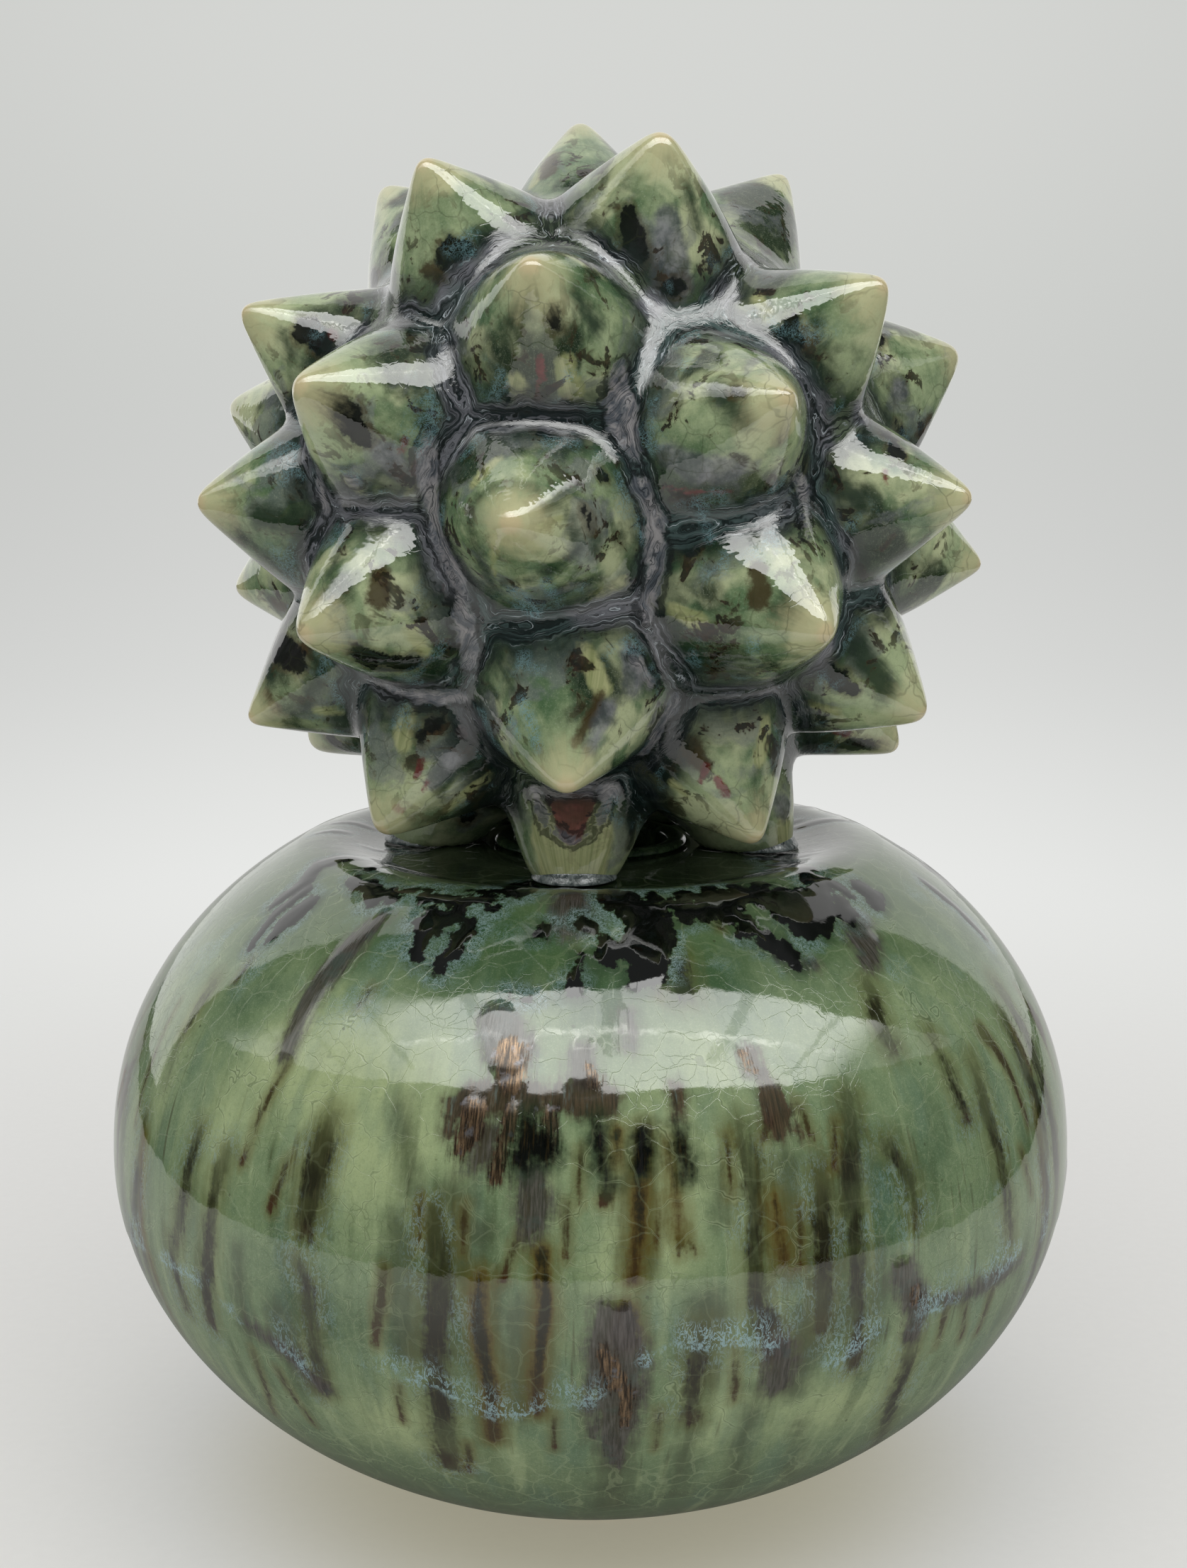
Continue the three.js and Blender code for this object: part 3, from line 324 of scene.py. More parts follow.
    ('black', [(8.3, 77.3, 130.3, 1.5), (8.1, 78.5, 129.2, 1.5)]),
    ('black', [(11.4, 58.8, 141.2, 1.6), (14, 62.3, 140.4, 2)]),
    ('black', [(11.7, 57.5, 141.5, 1.4), (11.1, 60.2, 140.9, 1.4)]),
    ('black', [(14.4, 60.8, 140.8, 1.7), (13.8, 63.3, 139.8, 1.7)]),
    ('black', [(16.4, 62.5, 140.2, 4.1), (16.2, 65.6, 138.5, 2.5)]),
    ('black', [(17.4, 59.4, 141.1, 3.6), (15.8, 64.5, 139.1, 3.5)]),
    ('black', [(16.6, 64.4, 139.2, 2.1), (15.9, 66.7, 137.8, 2.1)]),
    ('black', [(19.4, 63.9, 139.5, 4.5), (22.5, 65.1, 138.8, 3.8)]),
    ('black', [(20.3, 61.5, 140.6, 3.9), (18.6, 65.9, 138.3, 3.8)]),
    ('black', [(23.3, 63.3, 139.8, 3.2), (21.8, 66.8, 137.8, 3.2)]),
    ('black', [(23.6, 65.8, 138.4, 2.9), (25.4, 68.9, 136.4, 2.8), (27, 72.1, 134.2, 2.7)]),
    ('black', [(24.2, 64.4, 139.2, 2.5), (23.1, 67, 137.6, 2.5)]),
    ('black', [(26, 67.7, 137.2, 2.5), (24.9, 70.1, 135.7, 2.4)]),
    ('black', [(27.5, 71.1, 135, 2.3), (26.5, 73.2, 133.5, 2.3)]),
    ('black', [(27.4, 72.9, 133.7, 2.1), (28.9, 74.4, 132.6, 2.7), (29.6, 76.4, 131, 2.7)]),
    ('black', [(27.8, 72.1, 134.3, 1.8), (27.1, 73.7, 133.1, 1.8)]),
    ('black', [(29.4, 73.4, 133.3, 2.3), (28.4, 75.4, 131.8, 2.3)]),
    ('black', [(30.1, 75.4, 131.8, 2.3), (29.1, 77.3, 130.3, 2.3)]),
    ('black', [(23.7, 69.7, 135.9, 2), (24.2, 70.4, 135.4, 1.6)]),
    ('black', [(24, 68.9, 136.4, 1.7), (23.3, 70.5, 135.4, 1.7)]),
    ('black', [(24.5, 69.8, 135.9, 1.4), (24, 71.1, 135, 1.4)]),
    ('black', [(34.3, 65.4, 138.6, 5.6), (36.7, 68, 137, 7.1), (40.1, 67.9, 137.1, 7.1)]),
    ('black', [(36.2, 62.9, 140, 4.9), (32.6, 67.8, 137.1, 4.8)]),
    ('black', [(39.1, 65, 138.8, 6.1), (34.7, 70.8, 135.2, 6)]),
    ('black', [(42.8, 64.9, 138.9, 6.2), (37.8, 70.7, 135.3, 6.1)]),
    ('black', [(69.1, 38.2, 139.4, 2.4), (64.2, 44.3, 139.4, 3.2), (47.3, 57.9, 141.4, 3.4), (45.7, 62.9, 140, 3.3)]),
    ('black', [(75.7, 37.2, 139.4, 2.1), (63, 39.7, 139.4, 2)]),
    ('black', [(71.5, 42.6, 139.4, 2.7), (51.6, 49.6, 140.7, 2.6)]),
    ('black', [(51.8, 54.9, 141.6, 2.9), (44.5, 60.2, 140.9, 2.9)]),
    ('black', [(47.8, 61.2, 140.7, 2.9), (44.1, 64.3, 139.2, 2.9)]),
    ('black', [(-10.4, 80.2, 127.7, 0.9), (-7.6, 80.8, 127.2, 0.8)]),
    ('black', [(11.6, 80.4, 127.6, 1.4), (12.3, 80.2, 127.7, 1.1)]),
    ('soft', [(12.7, 74.1, 132.8, 2.7), (12.4, 77.7, 129.9, 3.2), (12.2, 79.9, 128, 4.1)]),
    ('brown', [(8.9, 78.9, 128.9, 0.6), (8.8, 80.3, 127.6, 0.5)]),
    ('brown', [(20.8, 67.2, 137.5, 1.8), (20.6, 68.9, 136.5, 1.2)]),
    ('faint', [(-9.2, 79.7, 128.2, 3.6), (-7.4, 80.6, 127.4, 4.1)]),
    ('faint', [(30.9, 58.1, 141.4, 3.4), (33.1, 60.1, 140.9, 2.8)]),
    ('umber', [(-14.3, 93.8, 110.8, 5), (-12.4, 92.8, 112.6, 6.2), (-9, 92.6, 112.8, 6.7), (-6.2, 92.6, 112.8, 5.7)]),
    ('umber', [(-3.4, 92.2, 113.5, 4.9), (-1.3, 92.5, 112.9, 6.9), (1.3, 92.8, 112.5, 6.2)]),
    ('umber', [(-15.2, 93.5, 111.4, 2.4), (-14.9, 96, 106.7, 2.8)]),
    ('umber', [(9.5, 91.9, 114, 2.9), (9.5, 94.8, 109, 2.1)]),
    ('umber', [(18.8, 88.7, 118.5, 3.4), (19.4, 91.1, 115.1, 2.9)]),
    ('umber', [(19.9, 92.6, 112.8, 4.4), (20.5, 95.1, 108.5, 5.7), (20.1, 96.5, 105.6, 2.9)]),
    ('umber', [(22.1, 96.1, 106.5, 1.9), (22.8, 96.9, 104.6, 1.5)]),
    ('bronze', [(-12.5, 94.4, 109.7, 5.4), (-12.8, 95.9, 107, 4.9), (-13.5, 97.2, 104.1, 3)]),
    ('bronze', [(-8.3, 94.1, 110.3, 3.2), (-8.7, 96, 106.6, 3.2), (-9.3, 97.8, 102.5, 2.7), (-9.7, 99, 99.3, 1.5)]),
    ('bronze', [(-4.5, 94.2, 110.2, 2.8), (-4.1, 96.3, 105.9, 2.1)]),
    ('bronze', [(-0.1, 89.4, 117.6, 1.6), (0.7, 90.9, 115.4, 2.1)]),
    ('bronze', [(18, 88.6, 118.6, 1.5), (18.8, 90.8, 115.6, 1.6)]),
    ('bronze', [(-9.2, 87.7, 119.7, 5.4), (-8.9, 90.4, 116.1, 6.2)]),
    ('grey', [(-10.6, 95.7, 107.2, 4.8), (-11.3, 97.5, 103.3, 5.3), (-12.3, 98.4, 101, 2.8)]),
    ('grey', [(-5.8, 98.5, 100.7, 5.6), (-5.6, 100.1, 95.8, 7.1), (-6.1, 101.2, 91.2, 3.3)]),
    ('grey', [(-11.3, 84.3, 123.6, 7.8), (-9.6, 87.4, 120.1, 9.6)]),
    ('grey', [(-0.7, 87.7, 119.7, 4.4), (-1, 90.2, 116.4, 5.3)]),
    ('faint', [(-14.8, 100.9, 92.6, 7.1), (-11.3, 101.3, 90.3, 7.1)]),
    ('faint', [(24.1, 99.1, 98.9, 5.4), (24.1, 101.5, 89.6, 6.2), (23.6, 102.4, 80, 5.7)]),
    ('black', [(-6.8, 94.8, 109.1, 2.7), (-6.5, 96.1, 106.5, 4.4), (-6.8, 97.6, 103.1, 3.7)]),
    ('black', [(-5, 95.9, 106.8, 2.5), (-4.1, 97.3, 103.7, 2.4)]),
    ('black', [(-21.7, 65.3, 138.6, 2.5), (-25, 68.2, 136.9, 3.6), (-26, 72.1, 134.2, 2.4)]),
    ('black', [(-22.2, 64.2, 139.3, 2.2), (-21.3, 66.5, 138, 2.1)]),
    ('black', [(-25.7, 66.7, 137.9, 3.1), (-24.3, 69.7, 135.9, 3.1)]),
    ('black', [(-26.4, 71.2, 134.9, 2.1), (-25.6, 73.1, 133.6, 2.1)]),
    ('black', [(-29.9, 62.8, 140.1, 2.2), (-23.3, 63.3, 139.8, 2.9), (-18.3, 60.7, 140.8, 2.2)]),
    ('black', [(-30.6, 61.7, 140.6, 1.9), (-29.3, 63.9, 139.5, 1.9)]),
    ('black', [(-24, 61.8, 140.5, 2.5), (-22.7, 64.6, 139, 2.5)]),
    ('black', [(-19, 58.9, 141.2, 1.9), (-17.7, 62.3, 140.3, 1.8)]),
    ('black', [(26.6, 61.9, 140.5, 4), (31.7, 62, 140.5, 4.4)]),
    ('black', [(28.5, 58.7, 141.2, 3.5), (25.6, 63.8, 139.5, 3.4)]),
    ('black', [(34.1, 58.7, 141.2, 3.8), (30.4, 64.1, 139.4, 3.7)]),
    ('black', [(22.1, 59.6, 141, 2.9), (24.1, 61.3, 140.7, 2.5)]),
    ('black', [(23.2, 57.2, 141.6, 2.5), (21, 61.9, 140.5, 2.5)]),
    ('black', [(25.1, 59.2, 141.1, 2.2), (23.4, 62.8, 140.1, 2.2)]),
    ('black', [(45.3, 68.6, 136.7, 3.7), (45, 70.5, 135.4, 2.9)]),
    ('black', [(46.8, 67.1, 137.6, 3.2), (43.9, 70, 135.7, 3.2)]),
    ('black', [(46.2, 69.5, 136.1, 2.5), (44, 71.6, 134.6, 2.5)]),
    ('black', [(-47.4, 62.5, 140.2, 2.6), (-43.1, 62.9, 140, 3)]),
    ('black', [(-49.3, 61.1, 140.7, 2.3), (-46.1, 63.6, 139.6, 2.2)]),
    ('black', [(-44.8, 61.3, 140.7, 2.6), (-41.8, 64.1, 139.3, 2.5)]),
    ('faint', [(-13.6, 100.3, 95.1, 8.6), (-12.7, 102.2, 84.4, 7.4)]),
    ('faint', [(20.4, 98.8, 99.8, 7.4), (19.6, 102.3, 83, 7.4)]),
    ('faint', [(-19.4, 101.5, 89.3, 6.2), (-18.8, 102.4, 80.6, 8.2), (-18.4, 101.9, 68.6, 7.5)]),
    ('faint', [(4.8, 98.6, 100.6, 8.1), (4.6, 101.9, 86.5, 6.6)]),
    ('faint', [(-29.4, 98.3, 101.2, 7.6), (-30, 101.6, 88.8, 7.1)]),
    ('faint', [(11.6, 102.5, 76.9, 7.4), (11.2, 100.8, 63, 6.2)]),
    ('faint', [(-6.3, 102.5, 76.2, 8.1), (-7.1, 99.1, 57.4, 7)]),
    ('faint', [(22.8, 102.4, 72.9, 7.5), (21.4, 99.5, 58.7, 6.3)]),
    ('faint', [(-34, 101.9, 68.5, 6.4), (-31.4, 97.8, 54.2, 6.5)]),
    ('brown', [(-12.6, 100.2, 95.3, 0.9), (-12.6, 101.9, 86.9, 0.6)]),
    ('brown', [(-17.4, 100.1, 95.7, 0.7), (-17.2, 101.8, 87.3, 0.6)]),
    ('brown', [(14.5, 96.1, 106.4, 0.9), (14.2, 100, 96.2, 0.6)]),
    ('brown', [(21.5, 100.6, 93.6, 0.9), (21, 102.3, 82.6, 1)]),
    ('brown', [(27.1, 96.1, 106.4, 1), (25.8, 99.2, 98.6, 0.6)]),
    ('brown', [(6.9, 99.7, 97, 0.7), (6.4, 101.6, 88.8, 0.9)]),
    ('brown', [(-0.9, 96.7, 105.1, 1.1), (-1, 100, 96.1, 0.7)]),
    ('brown', [(-2.3, 100, 96.1, 1), (-2.4, 101.9, 86.6, 0.7)]),
    ('brown', [(14.6, 102, 69.6, 0.9), (14.9, 99.1, 57.5, 0.8)]),
    ('brown', [(-13.5, 94.5, 47.4, 1.1), (-14.5, 88.7, 38.7, 0.8)]),
    ('brown', [(-20.2, 99.7, 59.1, 1), (-20.8, 96.1, 50.5, 0.8)]),
    ('brown', [(7, 99.1, 57.4, 0.9), (7.1, 94.2, 46.8, 0.6)]),
    ('brown', [(-3.8, 98.6, 56.1, 0.9), (-3.9, 94.4, 47.2, 0.8)]),
    ('black', [(-5.3, 96.8, 105, 3.3), (-4.2, 97.1, 104.3, 3.1)]),
    ('black', [(0.8, 94.8, 109.1, 1.4), (1, 96.2, 106.2, 2.1), (1.2, 97.7, 102.9, 1.7), (1.7, 98.8, 99.8, 1.1)]),
    ('brown', [(1.9, 99.4, 98.2, 2.2), (1.3, 99.8, 96.7, 2.1)]),
    ('amber', [(2.8, 95.5, 107.6, 2.1), (2.5, 97.8, 102.6, 1.5)]),
    ('amber', [(5.6, 95.6, 107.5, 2.8), (5.1, 98.2, 101.6, 2.8), (4.8, 100.8, 92.7, 2.7), (4.3, 102.2, 83.4, 2.7)]),
    ('black', [(5.6, 95.6, 107.4, 1.5), (5.4, 96.9, 104.8, 2.7), (5.1, 98.1, 101.7, 1.2)]),
    ('black', [(9.3, 95.8, 107, 1.4), (9.7, 97.1, 104.2, 2.1), (10.1, 98.4, 101.1, 2.2)]),
    ('black', [(9.5, 98.3, 101.3, 0.7), (9.5, 98.8, 100, 0.6)]),
    ('black', [(10.5, 98.2, 101.6, 0.9), (10.6, 98.7, 100.2, 0.6)]),
    ('amber', [(8.2, 96.2, 106.2, 1.7), (8.6, 99.7, 97, 1.3), (9, 101.2, 91, 1.3)]),
    ('brown', [(9, 101.2, 91, 1.6), (8.7, 101.8, 87.2, 0.9)]),
    ('brown', [(9.3, 101.4, 90.1, 1), (10.3, 101.8, 87.5, 0.6)]),
]

# Paler (+) and deeper (-) areas of the body's glaze: azimuth, radius, height, size, amount.
BODY_TONES = [
    (-23, 97, 105, 14, 1.00), (-31, 91, 116, 12, 0.55), (7, 98, 103, 10, 0.90), (5, 102, 89, 9, 0.70),
    (14, 88, 119, 9, 0.30), (-23, 96, 50, 10, 0.70), (-9, 91, 42, 8, 0.35), (16, 97, 52, 10, 0.60),
    (26, 97, 52, 8, 0.35), (-6, 102, 76, 6, 0.40), (-16, 88, 119, 8, 0.30), (10, 102, 83, 6, 0.50),
    (20, 92, 114, 8, 0.30), (35, 98, 54, 8, 0.30), (-50, 91, 42, 7, 0.50), (-52, 96, 51, 6, 0.30),
    (-13, 74, 133, 12, -0.80), (2, 80, 128, 9, -0.60), (16, 77, 131, 10, -0.70), (-30, 72, 134, 8, -0.60),
    (-49, 89, 118, 12, -0.50), (-52, 99, 98, 8, -0.20), (32, 101, 92, 10, -0.55), (36, 75, 132, 8, -0.30),
    (-16, 102, 71, 10, -0.50), (13, 102, 74, 7, -0.30), (-29, 102, 72, 8, -0.50), (27, 102, 73, 9, -0.45),
    (-9, 102, 66, 7, -0.30), (2, 30, 139, 21, -0.30), (41, 99, 100, 8, -0.30), (-15, 102, 83, 7, -0.20),
    (-60, 92, 113, 12, 0.45), (-45, 99, 98, 12, 0.50), (-56, 99, 99, 9, 0.35), (-41, 92, 114, 12, 0.50), (-34, 89, 119, 10, 0.35),
    (48, 90, 117, 11, 0.35), (-9, 102, 77, 8, -0.35), (12, 102, 79, 9, -0.30), (-31, 102, 74, 9, -0.35), (28, 96, 51, 10, 0.30),
]

# Height of the edge of the second dip of glaze round the body: azimuth, height.
DIP_LINE = [
    (-180, 66), (-150, 60), (-120, 66), (-90, 60), (-70, 64), (-56, 70), (-43.8, 67.7), (-38.2, 64.7),
    (-33.3, 60.8), (-29.8, 52.7), (-24.8, 58.1), (-20.5, 61.0), (-17.0, 59.8), (-13.4, 57.1),
    (-10.5, 55.2), (-6.9, 56.5), (-4.5, 58.5), (-0.2, 58.7), (3.4, 57.8), (6.6, 70.2), (8.1, 71.6),
    (11.7, 70.2), (14.5, 70.6), (17.6, 68.1), (21.0, 63.5), (24.4, 61.5), (27.6, 63.2), (31.6, 68.1),
    (38.6, 68.3), (45.6, 68.2), (51.1, 69.4), (55.8, 72.4), (75, 64), (100, 70), (130, 58), (155, 64), (180, 66),
]


def aim(polar, azimuth):
    p, a = np.radians(polar), np.radians(azimuth)
    return np.array([np.sin(p) * np.sin(a), -np.sin(p) * np.cos(a), np.cos(p)])


N_CONES = len(CONES)
_ALL = CONES + [(LEG_POLAR, a, LEG_TIP) for a in LEGS.values()]
AXES = np.array([aim(p, a) for p, a, _ in _ALL])
REACH = np.array([r for _, _, r in _ALL])
_rs = np.random.RandomState(7)
SLOPE = np.concatenate([_rs.uniform(0.64, 0.72, N_CONES), np.full(len(LEGS), LEG_SLOPE)])
ROUND = np.concatenate([_rs.uniform(0.020, 0.036, N_CONES), np.full(len(LEGS), 0.01)])
BULGE = np.concatenate([_rs.uniform(0.06, 0.14, N_CONES), np.full(len(LEGS), 0.10)])
LOBES = _rs.uniform(0, 2 * np.pi, (len(_ALL), 3))
_E1 = np.cross([0.0, 0.0, 1.0], AXES)
E1 = _E1 / np.linalg.norm(_E1, axis=1)[:, None]
E2 = np.cross(AXES, E1)


def waves(d, seed, count, low, high):
    """A smooth seeded field over points or directions, about -1 to 1."""
    rs = np.random.RandomState(seed)
    out = np.zeros(len(d))
    for _ in range(count):
        k = rs.normal(size=3)
        k *= rs.uniform(low, high) / np.linalg.norm(k)
        out += np.sin(d @ k + rs.uniform(0, 2 * np.pi))
    return out / np.sqrt(count)


def step(x, low, high):
    t = np.clip((x - low) / (high - low), 0, 1)
    return t * t * (3 - 2 * t)


def ball_radius(d):
    """Distance from the ball's centre to its glazed surface, for unit directions d."""
    cos = np.clip(d @ AXES.T, -1, 1)
    phi = np.arctan2(d @ E2.T, d @ E1.T)
    sin = np.sqrt(np.maximum(0, 1 - cos ** 2))
    lob = (1 + 0.045 * np.sin(phi + LOBES[:, 0]) + 0.035 * np.sin(2 * phi + LOBES[:, 1])
           + 0.02 * np.sin(3 * phi + LOBES[:, 2]))
    lob[:, N_CONES:] = 1
    k = SLOPE * lob
    p = 2.4
    soft = (sin ** p + ROUND ** p) ** (1 / p)
    near = cos > 0.2
    kk = k
    for _ in range(3):
        r = np.where(near, REACH * (ROUND + kk) / (soft + kk * cos), 0)
        t = np.clip((REACH - r * cos) / 24.0, 0, 1)
        kk = k * (1 + BULGE * np.sin(np.pi * t))
    r = np.where(near, REACH * (ROUND + kk) / (soft + kk * cos), 0)
    core = np.full(len(d), 59.6) + 0.6 * waves(d, 3, 8, 3, 7)
    every = np.concatenate([r, core[:, None]], axis=1)
    s = 0.46
    m = every.max(axis=1)
    out = m + np.log(np.exp(s * (every - m[:, None])).sum(axis=1)) / s
    out += 0.22 * waves(d, 5, 10, 8, 18)
    # firing vent in the lowest point
    below = np.degrees(np.arccos(np.clip(-d[:, 2], -1, 1)))
    out -= 5.0 * (1 - step(below, 2.6, 4.6))
    # the legs end level on the sunken top
    down = -d[:, 2]
    level = np.where(down > 0.3, (BALL_Z - PLATEAU - 0.25) / np.maximum(down, 0.3), 1e9)
    return np.minimum(out, level)


def nearest_axes(d):
    """Angles in degrees to the three nearest axes, in order, and the nearest one's number."""
    cos = np.clip(d @ AXES.T, -1, 1)
    three = np.argpartition(-cos, 3, axis=1)[:, :3]
    c = np.take_along_axis(cos, three, 1)
    order = np.argsort(-c, axis=1)
    three = np.take_along_axis(three, order, 1)
    return np.degrees(np.arccos(np.take_along_axis(c, order, 1))), three[:, 0]


# --------------------------------------------------------------------------
# meshes
# --------------------------------------------------------------------------
def make_mesh(name, points, faces, attributes=None):
    """A smooth-shaded mesh object from points in millimetres, with per-point attributes."""
    mesh = bpy.data.meshes.new(name)
    mesh.from_pydata((np.asarray(points) * MM).tolist(), [], faces)
    mesh.validate()
    for key, values in (attributes or {}).items():
        values = np.asarray(values, np.float32)
        kind = "FLOAT" if values.ndim == 1 else "FLOAT_VECTOR"
        attr = mesh.attributes.new(key, kind, "POINT")
        attr.data.foreach_set("value" if kind == "FLOAT" else "vector", values.ravel())
    mesh.shade_smooth()
    ob = bpy.data.objects.new(name, mesh)
    SCENE.collection.objects.link(ob)
    return ob


def cube_sphere(n):
    """Unit directions and outward quads of a cube blown up to a sphere."""
    t = np.tan(np.linspace(-math.pi / 4, math.pi / 4, n + 1))
    a, b = np.meshgrid(t, t, indexing="ij")
    one = np.ones_like(a)
    sides = [(one, a, b), (-one, b, a), (b, one, a), (a, -one, b), (a, b, one), (b, a, -one)]
    points, quads = [], []
    for s, side in enumerate(sides):
        points.append(np.stack(side, axis=-1).reshape(-1, 3))
        i, j = np.meshgrid(np.arange(n), np.arange(n), indexing="ij")
        k = (s * (n + 1) ** 2 + i * (n + 1) + j).ravel()
        quads.append(np.stack([k, k + n + 1, k + n + 2, k + 1], axis=1))
    points = np.concatenate(points)
    points /= np.linalg.norm(points, axis=1)[:, None]
    key, back = np.unique(np.round(points, 6), axis=0, return_inverse=True)
    quads = np.asarray(back).reshape(-1)[np.concatenate(quads)]
    dirs = key / np.linalg.norm(key, axis=1)[:, None]
    return dirs, quads


def gather(d, strength=0.42):
    """Draws directions towards the nearest axis, so the points lie closer near the tips."""
    ang, idx = nearest_axes(d)
    a = AXES[idx]
    th = np.radians(ang[:, 0])
    u = 2 * ang[:, 0] / (ang[:, 0] + ang[:, 1])
    new = th * np.maximum(u, 1e-6) ** strength
    side = d - a * np.cos(th)[:, None]
    side /= np.maximum(np.linalg.norm(side, axis=1), 1e-9)[:, None]
    return a * np.cos(new)[:, None] + side * np.sin(new)[:, None]


def along(points, path, widths):
    """Signed distance in mm to a stroke (below zero inside) and the place along it, 0 to 1."""
    path, widths = np.asarray(path, float), np.asarray(widths, float)
    best = np.full(len(points), 99.0)
    place = np.zeros(len(points))
    if len(path) == 1:
        return np.linalg.norm(points - path[0], axis=1) - widths[0] / 2, place
    lengths = np.linalg.norm(np.diff(path, axis=0), axis=1)
    total = max(lengths.sum(), 1e-6)
    run = 0.0
    for i, length in enumerate(lengths):
        a, ab = path[i], path[i + 1] - path[i]
        t = np.clip(((points - a) @ ab) / max(length ** 2, 1e-9), 0, 1)
        gap = np.linalg.norm(points - (a + t[:, None] * ab), axis=1) - (widths[i] + (widths[i + 1] - widths[i]) * t) / 2
        closer = gap < best
        best = np.where(closer, gap, best)
        place = np.where(closer, (run + t * length) / total, place)
        run += length
    return best, place


def mark_fields(points, marks, kinds):
    """Per kind: signed distance and place along, over every stroke of that kind."""
    out = {}
    for kind in kinds:
        best, place = np.full(len(points), 30.0), np.zeros(len(points))
        for k, path, widths in marks:
            if k != kind:
                continue
            middle = path.mean(axis=0)
            size = np.linalg.norm(path - middle, axis=1).max() + max(widths) + 14
            close = np.where(np.linalg.norm(points - middle, axis=1) < size)[0]
            if not len(close):
                continue
            d, t = along(points[close], path, widths)
            closer = d < best[close]
            best[close] = np.where(closer, d, best[close])
            place[close] = np.where(closer, t, place[close])
        out[kind] = (np.clip(best, -12, 12), place)
    return out


def build_ball():
    dirs, quads = cube_sphere(126)
    dirs = gather(dirs)
    radius = ball_radius(dirs)
    points = dirs * radius[:, None] + [0, 0, BALL_Z]
    ang, idx = nearest_axes(dirs)

    marks = []
    for kind, rows in BALL_MARKS:
        d = np.array([aim(p, a) for p, a, _ in rows])
        marks.append((kind, d * ball_radius(d)[:, None] + [0, 0, BALL_Z], [w for _, _, w in rows]))
    # the far side, which carries marks of the same kinds
    rs = np.random.RandomState(23)
    for i in range(len(_ALL)):
        if abs(_ALL[i][1]) < 72 and _ALL[i][0] > 30:
            continue
        for kind, low, high, width in (("black", 8, 16, 3.6), ("deep", 5, 14, 5.5), ("deep", 8, 16, 4.5), ("soft", 6, 14, 4.0),
                                       ("rust", 9, 16, 1.6), ("cream", 8, 15, 3.6), ("grey", 10, 18, 4.5)):
            if rs.rand() < 0.25:
                continue
            turn, off = rs.uniform(0, 2 * np.pi), np.radians(rs.uniform(low, high))
            row = []
            for far in (0.0, rs.uniform(2, 6)):
                o = off + np.radians(far)
                row.append(AXES[i] * np.cos(o) + (E1[i] * np.cos(turn) + E2[i] * np.sin(turn)) * np.sin(o))
                turn += rs.uniform(-0.15, 0.15)
            row = np.array(row)
            w = width * rs.uniform(0.6, 1.3)
            marks.append((kind, row * ball_radius(row)[:, None] + [0, 0, BALL_Z], [w, w * rs.uniform(0.5, 1.0)]))
    fields = mark_fields(points, marks, ("cream", "deep", "black", "grey", "rust", "wisp", "soft", "leg_side_shade", "milk"))

    a = AXES[idx]
    side = dirs - a * np.sum(dirs * a, axis=1)[:, None]
    side /= np.maximum(np.linalg.norm(side, axis=1), 1e-9)[:, None]
    e1, e2 = E1[idx], E2[idx]
    chance = np.random.RandomState(11).rand(len(AXES))
    attributes = {
        "gap": ang[:, 1] - ang[:, 0],
        "gap3": ang[:, 2] - ang[:, 0],
        "off": ang[:, 0],
        "reach": radius,
        "flow": np.stack([np.sum(side * e1, axis=1), np.sum(side * e2, axis=1), chance[idx]], axis=1),
        "cell": chance[idx],
        "leg": (idx >= N_CONES).astype(float),
        "under": np.degrees(np.arccos(np.clip(dirs[:, 2], -1, 1))),
    }
    for kind, (d, _) in fields.items():
        attributes["m_" + kind] = d
    return make_mesh("glazed_ball_and_legs", points, quads.tolist(), attributes)


def upper_z(r):
    return EQUATOR_Z + 77.6 * np.maximum(0, 1 - (r / BODY_R) ** 2.14) ** (1 / 2.14)


def lower_z(r):
    return EQUATOR_Z - 76.5 * np.maximum(0, 1 - (r / BODY_R) ** 1.98) ** (1 / 1.98)


def rounded(points, times):
    """Corner cutting: an open polyline made smoother, its ends kept."""
    p = np.asarray(points, float)
    for _ in range(times):
        q = [p[0]]
        for a, b in zip(p[:-1], p[1:]):
            q += [a * 0.75 + b * 0.25, a * 0.25 + b * 0.75]
        q.append(p[-1])
        p = np.array(q)
    return p


def spaced(path, count):
    """An even number of points along a polyline."""
    s = np.concatenate([[0], np.cumsum(np.linalg.norm(np.diff(path, axis=0), axis=1))])
    t = np.linspace(0, s[-1], count)
    return np.stack([np.interp(t, s, path[:, 0]), np.interp(t, s, path[:, 1])], axis=1)


